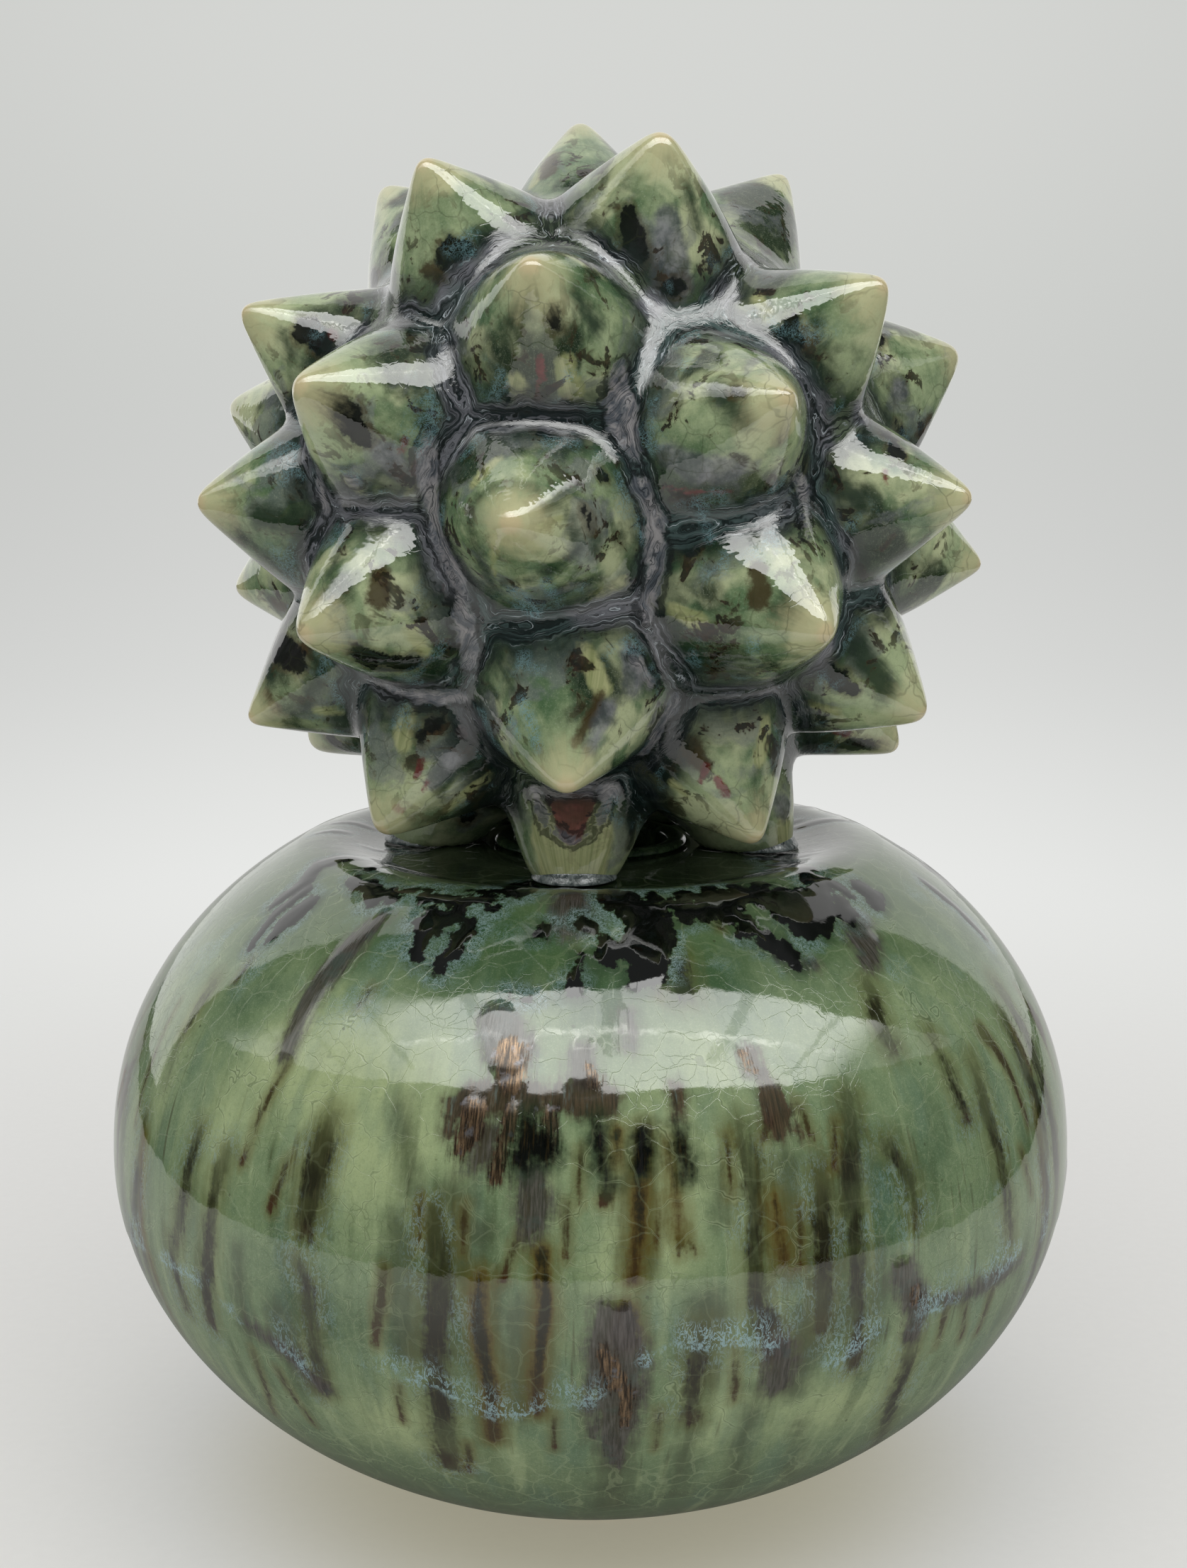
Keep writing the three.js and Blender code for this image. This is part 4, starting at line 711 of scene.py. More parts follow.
def body_profile():
    """[radius, height] from the middle of the base, up outside, into the mouth and back inside."""
    t = np.linspace(np.arcsin((36.6 / BODY_R) ** (1.98 / 2)), np.pi / 2, 400)
    low = np.stack([BODY_R * np.sin(t) ** (2 / 1.98), EQUATOR_Z - 76.5 * np.maximum(np.cos(t), 0) ** (2 / 1.98)], axis=1)
    u = np.linspace(0, np.arccos((62 / BODY_R) ** (2.14 / 2)), 400)
    high = np.stack([BODY_R * np.cos(u) ** (2 / 2.14), EQUATOR_Z + 77.6 * np.sin(u) ** (2 / 2.14)], axis=1)
    crest = rounded([high[-1], (56.6, 141.75), (51.8, 141.3), (47.6, 140.1), (44.4, PLATEAU), (40.0, PLATEAU)], 3)
    base = np.array([(0.6, 2.9), (12.0, 2.9), (27.0, 2.9), (32.0, 3.6)])
    outer = np.concatenate([base, spaced(low, 84), spaced(high, 70)[1:], spaced(crest, 15)[1:]])
    top = np.array([(36, PLATEAU), (31, PLATEAU), (26, PLATEAU), (22.0, PLATEAU), (19.6, PLATEAU - 0.1),
                    (19.2, PLATEAU - 0.9), (19.2, PLATEAU - 5.1), (20.0, 133.4)])
    r = BODY_R - 6
    v = np.linspace(np.arccos((54.6 / r) ** (2.14 / 2)), 0, 12)
    in_high = np.stack([r * np.cos(v) ** (2 / 2.14), EQUATOR_Z + 71.6 * np.sin(v) ** (2 / 2.14)], axis=1)
    w = np.linspace(np.pi / 2, 0.27, 12)
    in_low = np.stack([r * np.sin(w) ** (2 / 1.98), EQUATOR_Z - 68.0 * np.cos(w) ** (2 / 1.98)], axis=1)
    inner = np.concatenate([[(34, 133.4), (46.5, 133.4)], in_high, in_low[1:], [(0.6, 8.6)]])
    return outer, top, inner


def body_point(az, r, z):
    a = np.radians(az)
    return np.array([r * np.sin(a), -r * np.cos(a), z])


def body_marks():
    marks = []
    for kind, rows in BODY_MARKS:
        marks.append((kind, np.array([body_point(a, r, z) for a, r, z, _ in rows]), [w for *_, w in rows]))
    # the sides and back carry runs of the same kinds
    rs = np.random.RandomState(5)

    def at(az, z):
        z = min(max(z, 20), 139)
        rr = np.linspace(20, BODY_R - 0.01, 2000)
        if z >= EQUATOR_Z:
            r = np.interp(-z, -upper_z(rr), rr)
        else:
            r = np.interp(z, lower_z(rr), rr)
        return body_point(az, r, z)

    az = 62.0
    while az < 300:
        for _ in range(3):
            kind = rs.choice(["soft", "umber", "brown", "amber", "grey", "faint", "black"], p=[0.34, 0.05, 0.27, 0.13, 0.06, 0.12, 0.03])
            top = rs.uniform(68, 120)
            length = {"black": 9, "umber": 10, "brown": 22, "grey": 16}.get(kind, 40) * rs.uniform(0.5, 1.35)
            width = {"soft": 2.7, "brown": 0.9, "amber": 1.9, "grey": 3.4, "faint": 3.6, "black": 1.8, "umber": 4.2}[kind] * rs.uniform(0.6, 1.35)
            a0, lean = az + rs.uniform(-3, 3), rs.uniform(-1.4, 1.4)
            pts, ws = [], []
            for t in np.linspace(0, 1, 6):
                pts.append(at(a0 + lean * t + rs.uniform(-0.35, 0.35), top - length * t))
                ws.append(width * (0.45 + 0.65 * math.sin(math.pi * min(1.0, 0.12 + 0.80 * t))) * rs.uniform(0.8, 1.2))
            marks.append((kind, np.array(pts), ws))
        az += rs.uniform(3.2, 7.0)
    for n in range(46):
        a0 = rs.uniform(46, 310)
        r0 = rs.uniform(40, 74)
        length = rs.uniform(3, 14)
        w0 = rs.uniform(1.8, 5.0)
        pts = [body_point(a0 + rs.uniform(-2, 2) * t, r0 + length * t, 0) for t in (0, 0.5, 1)]
        pts = [np.array([p[0], p[1], float(np.interp(np.hypot(p[0], p[1]), [44, 47.6, 51.8, 56.6, 62, 70, 80, 90], [139.4, 140.1, 141.3, 141.7, 140.5, 136.2, 128.5, 117.0]))]) for p in pts]
        marks.append(("black", np.array(pts), [w0, w0 * rs.uniform(0.8, 1.4), w0 * rs.uniform(0.4, 1.0)]))
    for n in range(6):
        a0 = 75 + n * 42 + rs.uniform(-8, 8)
        z0 = rs.uniform(70, 112)
        marks.append(("bronze", np.array([at(a0, z0), at(a0 + rs.uniform(-1, 1), z0 - rs.uniform(3, 8))]), [rs.uniform(3, 5), rs.uniform(2, 4)]))
    return marks


def build_body():
    outer, top, inner = body_profile()
    profile = np.concatenate([outer, top, inner])
    rows, cols = len(profile), 436
    arc = np.concatenate([[0], np.cumsum(np.linalg.norm(np.diff(profile, axis=0), axis=1))])
    t = np.linspace(-math.pi, math.pi, cols, endpoint=False)
    az = t - 0.34 * np.sin(t)
    r, z = profile[:, 0][:, None], profile[:, 1][:, None]
    x, y = r * np.sin(az), -r * np.cos(az)
    points = np.stack([x, y, np.broadcast_to(z, x.shape)], axis=-1).reshape(-1, 3)
    outside = np.repeat(np.arange(rows) < len(outer) + 1, cols)

    fields = mark_fields(points, body_marks(), ("black", "grey", "bronze", "amber", "brown", "soft", "faint", "umber"))
    angle = np.degrees(np.arctan2(points[:, 0], -points[:, 1]))
    height = points[:, 2]
    radius = np.hypot(points[:, 0], points[:, 1])
    lx, lz = zip(*DIP_LINE)
    dip = np.interp(angle, lx, lz) + 0.9 * waves(np.stack([np.cos(np.radians(angle)), np.sin(np.radians(angle)), 0 * angle], axis=1), 31, 6, 20, 50)
    steep = np.clip(np.repeat(np.gradient(profile[:, 1], arc + np.arange(rows) * 1e-9), cols), 0.35, 1)
    dip_gap = (height - dip) / steep
    tone = np.zeros(len(points))
    for a0, r0, z0, size, amount in BODY_TONES:
        tone += amount * np.exp(-(np.linalg.norm(points - body_point(a0, r0, z0), axis=1) / size) ** 2)
    rs = np.random.RandomState(17)
    for _ in range(34):
        a0, z0 = rs.uniform(62, 298), rs.uniform(25, 135)
        rr = np.linspace(20, BODY_R - 0.01, 500)
        r0 = np.interp(-z0, -upper_z(rr), rr) if z0 > EQUATOR_Z else np.interp(z0, lower_z(rr), rr)
        tone += rs.uniform(-0.6, 0.8) * np.exp(-(np.linalg.norm(points - body_point(a0, r0, z0), axis=1) / rs.uniform(7, 13)) ** 2)

    # hand-thrown unevenness, and glaze that stands a little proud where it ran
    normal = np.stack([np.gradient(profile[:, 1], arc + np.arange(rows) * 1e-9), -np.gradient(profile[:, 0], arc + np.arange(rows) * 1e-9)], axis=1)
    normal /= np.linalg.norm(normal, axis=1)[:, None]
    n = np.repeat(normal, cols, axis=0)
    out = np.stack([np.sin(np.radians(angle)), -np.cos(np.radians(angle))], axis=1) * n[:, :1]
    lift = 0.20 * waves(points, 41, 10, 0.02, 0.06) + 0.05 * waves(points, 43, 12, 0.10, 0.22) - 0.25
    for kind, proud in (("black", 0.16), ("grey", 0.22), ("bronze", 0.12), ("amber", 0.10), ("brown", 0.08)):
        lift += proud * (1 - step(fields[kind][0], -1.2, 0.5))
    lift += 0.16 * (step(dip_gap, -0.8, 0.8) - 0.5) * step(height, 20, 40)
    lift *= outside * step(height, 6, 16)
    points[:, 0] += lift * out[:, 0]
    points[:, 1] += lift * out[:, 1]
    points[:, 2] += lift * n[:, 1]

    faces = []
    i, j = np.meshgrid(np.arange(rows - 1), np.arange(cols), indexing="ij")
    k = (j + 1) % cols
    quads = np.stack([i * cols + j, i * cols + k, (i + 1) * cols + k, (i + 1) * cols + j], axis=-1).reshape(-1, 4)
    faces = quads.tolist()
    count = len(points)
    points = np.concatenate([points, [[0, 0, profile[0, 1]], [0, 0, profile[-1, 1]]]])
    faces += [[count, (q + 1) % cols, q] for q in range(cols)]
    last = (rows - 1) * cols
    faces += [[count + 1, last + q, last + (q + 1) % cols] for q in range(cols)]

    def full(v):
        return np.concatenate([v, v[:1], v[-1:]])

    run = np.stack([np.sin(np.radians(angle)) * 100, -np.cos(np.radians(angle)) * 100, np.repeat(arc, cols)], axis=1)
    attributes = {
        "tone": full(tone), "dip": full(np.clip(dip_gap, -60, 60)), "high": full(height),
        "wide": full(radius), "run": full(run), "outside": full(outside.astype(float)),
    }
    for kind, (d, place) in fields.items():
        attributes["m_" + kind] = full(d)
        if kind in ("amber", "brown", "soft"):
            attributes["t_" + kind] = full(place)
    return make_mesh("glazed_body", points, faces, attributes)


def turned(name, profile, segments, centre=(0, 0), stretch=(1.0, 1.0), turn=0.0, wobble=0.0, seed=1):
    """A closed ring: a [radius, height] loop turned about a vertical line, slightly uneven."""
    rs = np.random.RandomState(seed)
    p = np.asarray(profile, float)
    rows = len(p)
    a = np.linspace(0, 2 * np.pi, segments, endpoint=False)
    uneven = 1 + wobble * sum(np.sin(f * a + rs.uniform(0, 6.28)) / f for f in (2, 3, 5, 7))
    lift = 1 + wobble * 3 * sum(np.sin(f * a + rs.uniform(0, 6.28)) / f for f in (2, 3, 4, 6))
    base = p[:, 1].min()
    x = p[:, 0][:, None] * np.cos(a) * uneven * stretch[0]
    y = p[:, 0][:, None] * np.sin(a) * uneven * stretch[1]
    z = base + (p[:, 1][:, None] - base) * lift
    c, s = math.cos(turn), math.sin(turn)
    points = np.stack([centre[0] + c * x - s * y, centre[1] + s * x + c * y, z], axis=-1).reshape(-1, 3)
    i, j = np.meshgrid(np.arange(rows), np.arange(segments), indexing="ij")
    i2, j2 = (i + 1) % rows, (j + 1) % segments
    quads = np.stack([i * segments + j, i * segments + j2, i2 * segments + j2, i2 * segments + j], axis=-1).reshape(-1, 4)
    # outward: the loop's turning sense decides the winding
    area = np.sum(p[:, 0] * np.roll(p[:, 1], -1) - np.roll(p[:, 0], -1) * p[:, 1])
    if area < 0:
        quads = quads[:, ::-1]
    return make_mesh(name, points, quads.tolist(), {"ringh": points[:, 2]})


# --------------------------------------------------------------------------
# materials
# --------------------------------------------------------------------------
def srgb(r, g, b):
    def f(c):
        c /= 255
        return c / 12.92 if c <= 0.04045 else ((c + 0.055) / 1.055) ** 2.4
    return (f(r), f(g), f(b), 1.0)


class Graph:
    """Short names for the nodes that the glazes are built from."""

    def __init__(self, name):
        self.mat = bpy.data.materials.new(name)
        self.mat.use_nodes = True
        self.tree = self.mat.node_tree
        self.tree.nodes.clear()
        self.out = self.new("ShaderNodeOutputMaterial")

    def new(self, kind, **settings):
        node = self.tree.nodes.new(kind)
        for key, value in settings.items():
            setattr(node, key, value)
        return node

    def put(self, socket, value):
        if isinstance(value, bpy.types.NodeSocket):
            self.tree.links.new(value, socket)
        else:
            socket.default_value = value

    def attr(self, name, vector=False):
        node = self.new("ShaderNodeAttribute", attribute_name=name)
        return node.outputs["Vector" if vector else "Fac"]

    def math(self, op, a, b=0.0, c=0.0, clamp=False):
        node = self.new("ShaderNodeMath", operation=op, use_clamp=clamp)
        for socket, value in zip(node.inputs, (a, b, c)):
            self.put(socket, value)
        return node.outputs[0]

    def vmath(self, op, a, b=(0, 0, 0), scale=None):
        node = self.new("ShaderNodeVectorMath", operation=op)
        self.put(node.inputs[0], a)
        if op == "SCALE":
            self.put(node.inputs["Scale"], scale)
        else:
            self.put(node.inputs[1], b)
        return node.outputs["Value" if op in ("DOT_PRODUCT", "LENGTH") else "Vector"]

    def smooth(self, x, low, high, to_low=0.0, to_high=1.0):
        node = self.new("ShaderNodeMapRange", interpolation_type="SMOOTHSTEP")
        self.put(node.inputs["Value"], x)
        for key, value in (("From Min", low), ("From Max", high), ("To Min", to_low), ("To Max", to_high)):
            self.put(node.inputs[key], value)
        return node.outputs[0]

    def mix(self, fac, a, b, mode="MIX"):
        node = self.new("ShaderNodeMix", data_type="RGBA", blend_type=mode)
        self.put(node.inputs[0], fac)
        self.put(node.inputs[6], a)
        self.put(node.inputs[7], b)
        return node.outputs[2]

    def noise(self, vector, scale, detail=2.0, rough=0.5, distortion=0.0, colour=False):
        node = self.new("ShaderNodeTexNoise", noise_dimensions="3D")
        self.put(node.inputs["Vector"], vector)
        for key, value in (("Scale", scale), ("Detail", detail), ("Roughness", rough), ("Distortion", distortion)):
            self.put(node.inputs[key], value)
        return node.outputs["Color" if colour else "Fac"]

    def cracks(self, vector, scale, jitter=1.0):
        node = self.new("ShaderNodeTexVoronoi", feature="DISTANCE_TO_EDGE")
        self.put(node.inputs["Vector"], vector)
        self.put(node.inputs["Scale"], scale)
        self.put(node.inputs["Randomness"], jitter)
        return node.outputs["Distance"]

    def object_mm(self):
        node = self.new("ShaderNodeTexCoord")
        return self.vmath("SCALE", node.outputs["Object"], scale=1000.0)

    def stretched(self, vector, x, y, z):
        return self.vmath("MULTIPLY", vector, (x, y, z))

    def bump(self, height, distance, strength=1.0, normal=None):
        node = self.new("ShaderNodeBump")
        self.put(node.inputs["Height"], height)
        self.put(node.inputs["Distance"], distance)
        self.put(node.inputs["Strength"], strength)
        if normal is not None:
            self.put(node.inputs["Normal"], normal)
        return node.outputs[0]

    def finish(self, colour, rough, normal=None, metallic=None, ior=1.68):
        node = self.new("ShaderNodeBsdfPrincipled")
        self.put(node.inputs["Base Color"], colour)
        self.put(node.inputs["Roughness"], rough)
        node.inputs["IOR"].default_value = ior
        if metallic is not None:
            self.put(node.inputs["Metallic"], metallic)
        if normal is not None:
            self.put(node.inputs["Normal"], normal)
        self.tree.links.new(node.outputs[0], self.out.inputs["Surface"])
        return self.mat


PALE = srgb(160, 174, 128)
MID = srgb(114, 134, 98)
DEEP = srgb(52, 82, 52)
TEAL = srgb(54, 92, 80)
WISP = srgb(150, 180, 186)


def centred(g, noise):
    """A 0..1 noise as -1..1."""
    return g.math("MULTIPLY_ADD", noise, 2.0, -1.0)


def ragged(g, distance, *parts):
    """A signed distance shifted by noises: pairs of noise and amount."""
    for noise, amount in parts:
        distance = g.math("MULTIPLY_ADD", noise, amount, distance)
    return distance


def filaments(g, p, scale, low=0.06, high=0.012, distortion=1.2):
    """Thin curling threads: the level lines of a tangled noise."""
    n = centred(g, g.noise(p, scale, 4.0, 0.62, distortion))
    return g.smooth(g.math("ABSOLUTE", n), low, high)


def body_glaze():
    g = Graph("body_celadon_glaze")
    p = g.object_mm()
    run = g.attr("run", vector=True)
    warp = centred(g, g.noise(p, 0.35, 3.0, 0.6))
    lump = centred(g, g.noise(p, 0.20, 4.0, 0.62))
    fine = centred(g, g.noise(p, 1.1, 3.0, 0.65))
    grain = centred(g, g.noise(p, 3.4, 3.0, 0.65))
    streak = centred(g, g.noise(g.stretched(run, 1.0, 1.0, 0.16), 0.75, 4.0, 0.62))
    hair = centred(g, g.noise(g.stretched(run, 1.0, 1.0, 0.10), 2.4, 3.0, 0.6))
    broad = centred(g, g.noise(p, 0.055, 3.0, 0.55))
    high, wide_r = g.attr("high"), g.attr("wide")

    # ground colour
    tone = g.math("ADD", g.attr("tone"), g.math("MULTIPLY", broad, 0.40))
    tone = g.math("MULTIPLY_ADD", lump, 0.30, tone)
    colour = g.mix(g.smooth(tone, -0.1, 0.9), MID, PALE)
    colour = g.mix(g.smooth(tone, 0.05, -0.75), colour, DEEP)
    low = g.smooth(g.math("MULTIPLY_ADD", lump, 6.0, high), 52.0, 20.0)
    colour = g.mix(g.math("MULTIPLY", low, 0.85), colour, srgb(58, 78, 58))
    # soft upright runs of deeper and paler glaze
    falls = g.noise(g.stretched(run, 1.0, 1.0, 0.16), 0.17, 3.0, 0.55)
    flank = g.math("MULTIPLY", g.smooth(high, 124.0, 100.0), g.smooth(high, 30.0, 52.0))
    colour = g.mix(g.math("MULTIPLY", g.smooth(falls, 0.52, 0.68), g.math("MULTIPLY", flank, 0.50)), colour, srgb(64, 82, 48))
    colour = g.mix(g.math("MULTIPLY", g.smooth(falls, 0.47, 0.32, 0.0, 0.36), g.smooth(high, 118.0, 96.0, 0.3, 1.0)), colour, srgb(172, 186, 140))
    bloom = g.smooth(g.noise(g.stretched(run, 1.0, 1.0, 0.4), 0.085, 3.0, 0.6), 0.5, 0.68)
    colour = g.mix(g.math("MULTIPLY", bloom, 0.38), colour, srgb(84, 112, 96))
    colour = g.mix(g.smooth(streak, 0.05, 0.7, 0.0, 0.20), colour, srgb(72, 96, 66))
    colour = g.mix(g.smooth(streak, -0.05, -0.7, 0.0, 0.20), colour, srgb(166, 180, 140))
    colour = g.mix(g.smooth(fine, 0.0, 0.8, 0.0, 0.36), colour, srgb(66, 90, 60))
    colour = g.mix(g.smooth(fine, 0.0, -0.8, 0.0, 0.28), colour, srgb(176, 190, 150))
    colour = g.mix(g.smooth(grain, -0.05, -0.6, 0.0, 0.30), colour, srgb(192, 204, 172))
    colour = g.mix(g.smooth(grain, 0.05, 0.6, 0.0, 0.30), colour, srgb(58, 78, 54))
    # thin brown hairs in clusters
    cluster = g.math("MULTIPLY", g.smooth(g.noise(p, 0.034, 2.0, 0.5), 0.50, 0.60), flank)
    hairs = g.smooth(g.noise(g.stretched(run, 1.0, 1.0, 0.055), 0.62, 2.0, 0.55), 0.60, 0.70)
    colour = g.mix(g.math("MULTIPLY", g.math("MULTIPLY", hairs, cluster), 0.6), colour, srgb(64, 60, 34))
    # painted shade: a greener, darker ring round the shoulder, under the ball
    shoulder_shade = g.math("MULTIPLY", g.smooth(g.math("MULTIPLY_ADD", lump, 5.0, wide_r), 88.0, 72.0), g.smooth(high, 112.0, 124.0))
    colour = g.mix(g.math("MULTIPLY", shoulder_shade, 0.6), colour, srgb(62, 86, 48))

    # runs and patches, from the faintest to the blackest
    d_faint = ragged(g, g.attr("m_faint"), (streak, 2.6), (lump, 2.0))
    faint = g.smooth(d_faint, 3.2, -3.0)
    colour = g.mix(g.math("MULTIPLY", faint, 0.72), colour, srgb(62, 70, 48))

    t_soft = g.attr("t_soft")
    d_soft = ragged(g, g.attr("m_soft"), (streak, 2.1), (warp, 1.3), (fine, 1.0))
    halo = g.smooth(d_soft, 4.6, -0.2)
    colour = g.mix(g.math("MULTIPLY", halo, 0.50), colour, srgb(86, 86, 38))
    core = g.smooth(d_soft, 1.1, -1.0)
    soft_colour = g.mix(g.smooth(high, 98.0, 64.0), srgb(28, 28, 12), srgb(32, 27, 18))
    soft_colour = g.mix(g.smooth(hair, 0.0, 0.5, 0.0, 0.38), soft_colour, srgb(84, 78, 52))
    soft_colour = g.mix(g.smooth(t_soft, 0.84, 0.98, 0.0, 0.6), soft_colour, srgb(52, 34, 22))
    fade = g.smooth(t_soft, -0.05, 0.22, 0.40, 0.96)
    fade = g.math("MULTIPLY", fade, g.smooth(g.noise(g.stretched(run, 1.0, 1.0, 0.5), 0.16, 3.0, 0.6), 0.36, 0.58, 0.62, 1.0))
    colour = g.mix(g.math("MULTIPLY", fade, core), colour, soft_colour)

    t_brown = g.attr("t_brown")
    d_brown = ragged(g, g.attr("m_brown"), (streak, 0.9), (fine, 0.6), (warp, 0.4))
    colour = g.mix(g.smooth(d_brown, 2.2, 0.0, 0.0, 0.45), colour, srgb(92, 82, 34))
    brown = g.smooth(d_brown, 0.45, -0.45)
    brown_colour = g.mix(g.smooth(t_brown, 0.55, 1.0), srgb(54, 44, 20), srgb(58, 30, 14))
    colour = g.mix(g.math("MULTIPLY", brown, g.smooth(t_brown, -0.05, 0.3, 0.4, 0.92)), colour, brown_colour)

    t_amber = g.attr("t_amber")
    d_amber = ragged(g, g.attr("m_amber"), (streak, 1.1), (fine, 0.7), (warp, 0.5))
    colour = g.mix(g.smooth(d_amber, 3.4, 0.0, 0.0, 0.60), colour, srgb(92, 84, 30))
    amber = g.smooth(d_amber, 0.9, -0.9)
    amber_colour = g.mix(g.smooth(d_amber, -1.3, 0.3), srgb(26, 22, 10), srgb(92, 72, 24))
    amber_colour = g.mix(g.smooth(t_amber, 0.55, 0.95, 0.0, 0.6), amber_colour, srgb(68, 46, 18))
    amber_colour = g.mix(g.smooth(hair, 0.1, 0.6, 0.0, 0.4), amber_colour, srgb(98, 86, 44))
    colour = g.mix(g.math("MULTIPLY", amber, 0.93), colour, amber_colour)

    # umber patches with pale blue streaks
    d_umber = ragged(g, g.attr("m_umber"), (streak, 1.6), (fine, 0.9), (warp, 1.2))
    colour = g.mix(g.smooth(d_umber, 2.0, 0.0, 0.0, 0.4), colour, srgb(70, 66, 46))
    umber = g.smooth(d_umber, 0.8, -0.8)
    umber_colour = g.mix(g.smooth(hair, -0.5, 0.6), srgb(36, 28, 22), srgb(84, 66, 50))
    umber_colour = g.mix(g.smooth(streak, 0.12, 0.42, 0.0, 0.75), umber_colour, srgb(92, 104, 100))
    colour = g.mix(g.math("MULTIPLY", umber, 0.9), colour, umber_colour)

    d_grey = ragged(g, g.attr("m_grey"), (streak, 2.4), (fine, 1.0), (warp, 1.4))
    colour = g.mix(g.smooth(d_grey, 2.8, 0.0, 0.0, 0.4), colour, srgb(74, 72, 56))
    grey = g.smooth(d_grey, 1.2, -1.2)
    grey_colour = g.mix(g.smooth(hair, -0.4, 0.5), srgb(40, 35, 32), srgb(88, 82, 80))
    grey_colour = g.mix(g.smooth(streak, 0.0, 0.5, 0.0, 0.8), grey_colour, srgb(58, 44, 32))
    grey_colour = g.mix(g.smooth(lump, 0.05, 0.4, 0.0, 0.7), grey_colour, srgb(58, 70, 68))
    colour = g.mix(g.math("MULTIPLY", grey, 0.85), colour, grey_colour)

    d_bronze = ragged(g, g.attr("m_bronze"), (hair, 1.5), (streak, 2.0), (fine, 0.9), (warp, 1.4))
    colour = g.mix(g.smooth(d_bronze, 1.8, 0.0, 0.0, 0.6), colour, srgb(48, 42, 28))
    bronze = g.smooth(d_bronze, 0.4, -0.4)
    bronze_colour = g.mix(g.smooth(hair, -0.25, 0.45), srgb(44, 34, 24), srgb(150, 122, 92))
    bronze_colour = g.mix(g.smooth(warp, -0.10, -0.40), bronze_colour, srgb(110, 108, 110))
    bronze_colour = g.mix(g.smooth(grain, 0.1, 0.4, 0.0, 0.7), bronze_colour, srgb(34, 26, 18))
    colour = g.mix(g.math("MULTIPLY", bronze, 0.94), colour, bronze_colour)

    # the sunken top, dark under the ball: painted shade
    sunk = ragged(g, wide_r, (warp, 4.0), (lump, 6.0))
    shade_under_ball = g.math("MULTIPLY", g.smooth(sunk, 62.0, 50.0), g.smooth(high, 128.0, 134.0))
    colour = g.mix(g.math("MULTIPLY", shade_under_ball, 0.85), colour, srgb(22, 34, 18))
    d_black = ragged(g, g.attr("m_black"), (lump, 1.5), (warp, 1.5), (fine, 0.6), (streak, 0.5), (1.0, -0.25))
    melt = g.smooth(high, 117.0, 110.0, 0.25, 1.25)
    black = g.smooth(g.math("DIVIDE", d_black, melt), 1.0, -1.0)
    colour = g.mix(g.math("MULTIPLY", g.smooth(d_black, 3.4, 0.0), 0.60), colour, srgb(32, 52, 32))
    plain = g.math("SUBTRACT", 1.0, g.math("MAXIMUM", g.math("MAXIMUM", black, umber), g.math("MAXIMUM", g.math("MAXIMUM", bronze, grey), g.math("MULTIPLY", amber, 0.6))), clamp=True)
    plain = g.math("MULTIPLY", plain, g.math("MULTIPLY", g.math("MULTIPLY_ADD", core, -0.75, 1.0), g.smooth(tone, -0.7, 0.1, 0.35, 1.0)))
    dark = g.mix(g.smooth(lump, 0.0, 0.5, 0.0, 0.5), srgb(7, 9, 6), srgb(24, 24, 14))
    dark = g.mix(g.math("MULTIPLY", g.smooth(hair, 0.0, 0.5), g.smooth(high, 117.0, 110.0, 0.0, 0.7)), dark, srgb(52, 42, 18))
    colour = g.mix(black, colour, dark)

    # pale blue threads where the glazes meet
    dip = g.attr("dip")
    curl = g.math("MAXIMUM", filaments(g, p, 0.60), filaments(g, p, 1.2, 0.08, 0.02))
    drawn = filaments(g, g.stretched(run, 1.0, 1.0, 0.45), 0.80, 0.09, 0.02)
    patchy = g.smooth(g.noise(p, 0.085, 2.0, 0.5), 0.44, 0.57)
    near_dip = g.math("MULTIPLY", g.smooth(ragged(g, dip, (lump, 3.0)), 9.0, 1.5), g.smooth(ragged(g, dip, (warp, 1.5)), -2.2, -0.2))
    wisp = g.math("MULTIPLY", drawn, g.math("MULTIPLY", near_dip, patchy))
    cord = g.math("ABSOLUTE", ragged(g, dip, (hair, 1.6), (warp, 2.4)))
    line = g.math("MULTIPLY", g.smooth(cord, 0.8, 0.1), g.math("MULTIPLY", patchy, g.smooth(fine, -0.2, 0.2)))
    ring = g.math("MULTIPLY", g.smooth(d_black, -0.1, 0.5), g.smooth(d_black, 3.6, 1.2))
    ring = g.math("MULTIPLY", ring, g.smooth(high, 112.0, 122.0))
    ring = g.math("MULTIPLY", ring, g.smooth(g.noise(p, 0.06, 2.0, 0.5), 0.41, 0.53))
    neck = g.math("MULTIPLY", g.smooth(wide_r, 64.0, 74.0), g.smooth(wide_r, 92.0, 82.0))
    neck = g.math("MULTIPLY", neck, g.smooth(g.noise(run, 0.055, 2.0, 0.5), 0.55, 0.66))
    neck = g.math("MULTIPLY", neck, g.smooth(high, 112.0, 120.0))
    around = g.math("MAXIMUM", ring, g.math("MULTIPLY", neck, 0.8))
    not_black = g.smooth(d_black, -0.3, 0.2)
    colour = g.mix(g.math("MULTIPLY", g.math("MULTIPLY", around, 0.20), not_black), colour, TEAL)
    colour = g.mix(g.math("MULTIPLY", g.math("MULTIPLY", g.math("MULTIPLY", around, curl), not_black), 0.56), colour, srgb(148, 172, 174))
    m_soft = g.attr("m_soft")
    by_runs = g.math("MULTIPLY", g.smooth(m_soft, 6.0, 1.5), g.smooth(m_soft, -1.0, 0.8))
    by_runs = g.math("MULTIPLY", by_runs, g.math("MULTIPLY", g.smooth(high, 112.0, 92.0), drawn))
    by_runs = g.math("MULTIPLY", by_runs, patchy)
    pale = g.math("MAXIMUM", g.math("MAXIMUM", wisp, line), g.math("MULTIPLY", by_runs, 0.40))
    colour = g.mix(g.math("MULTIPLY", pale, 0.80), colour, WISP)

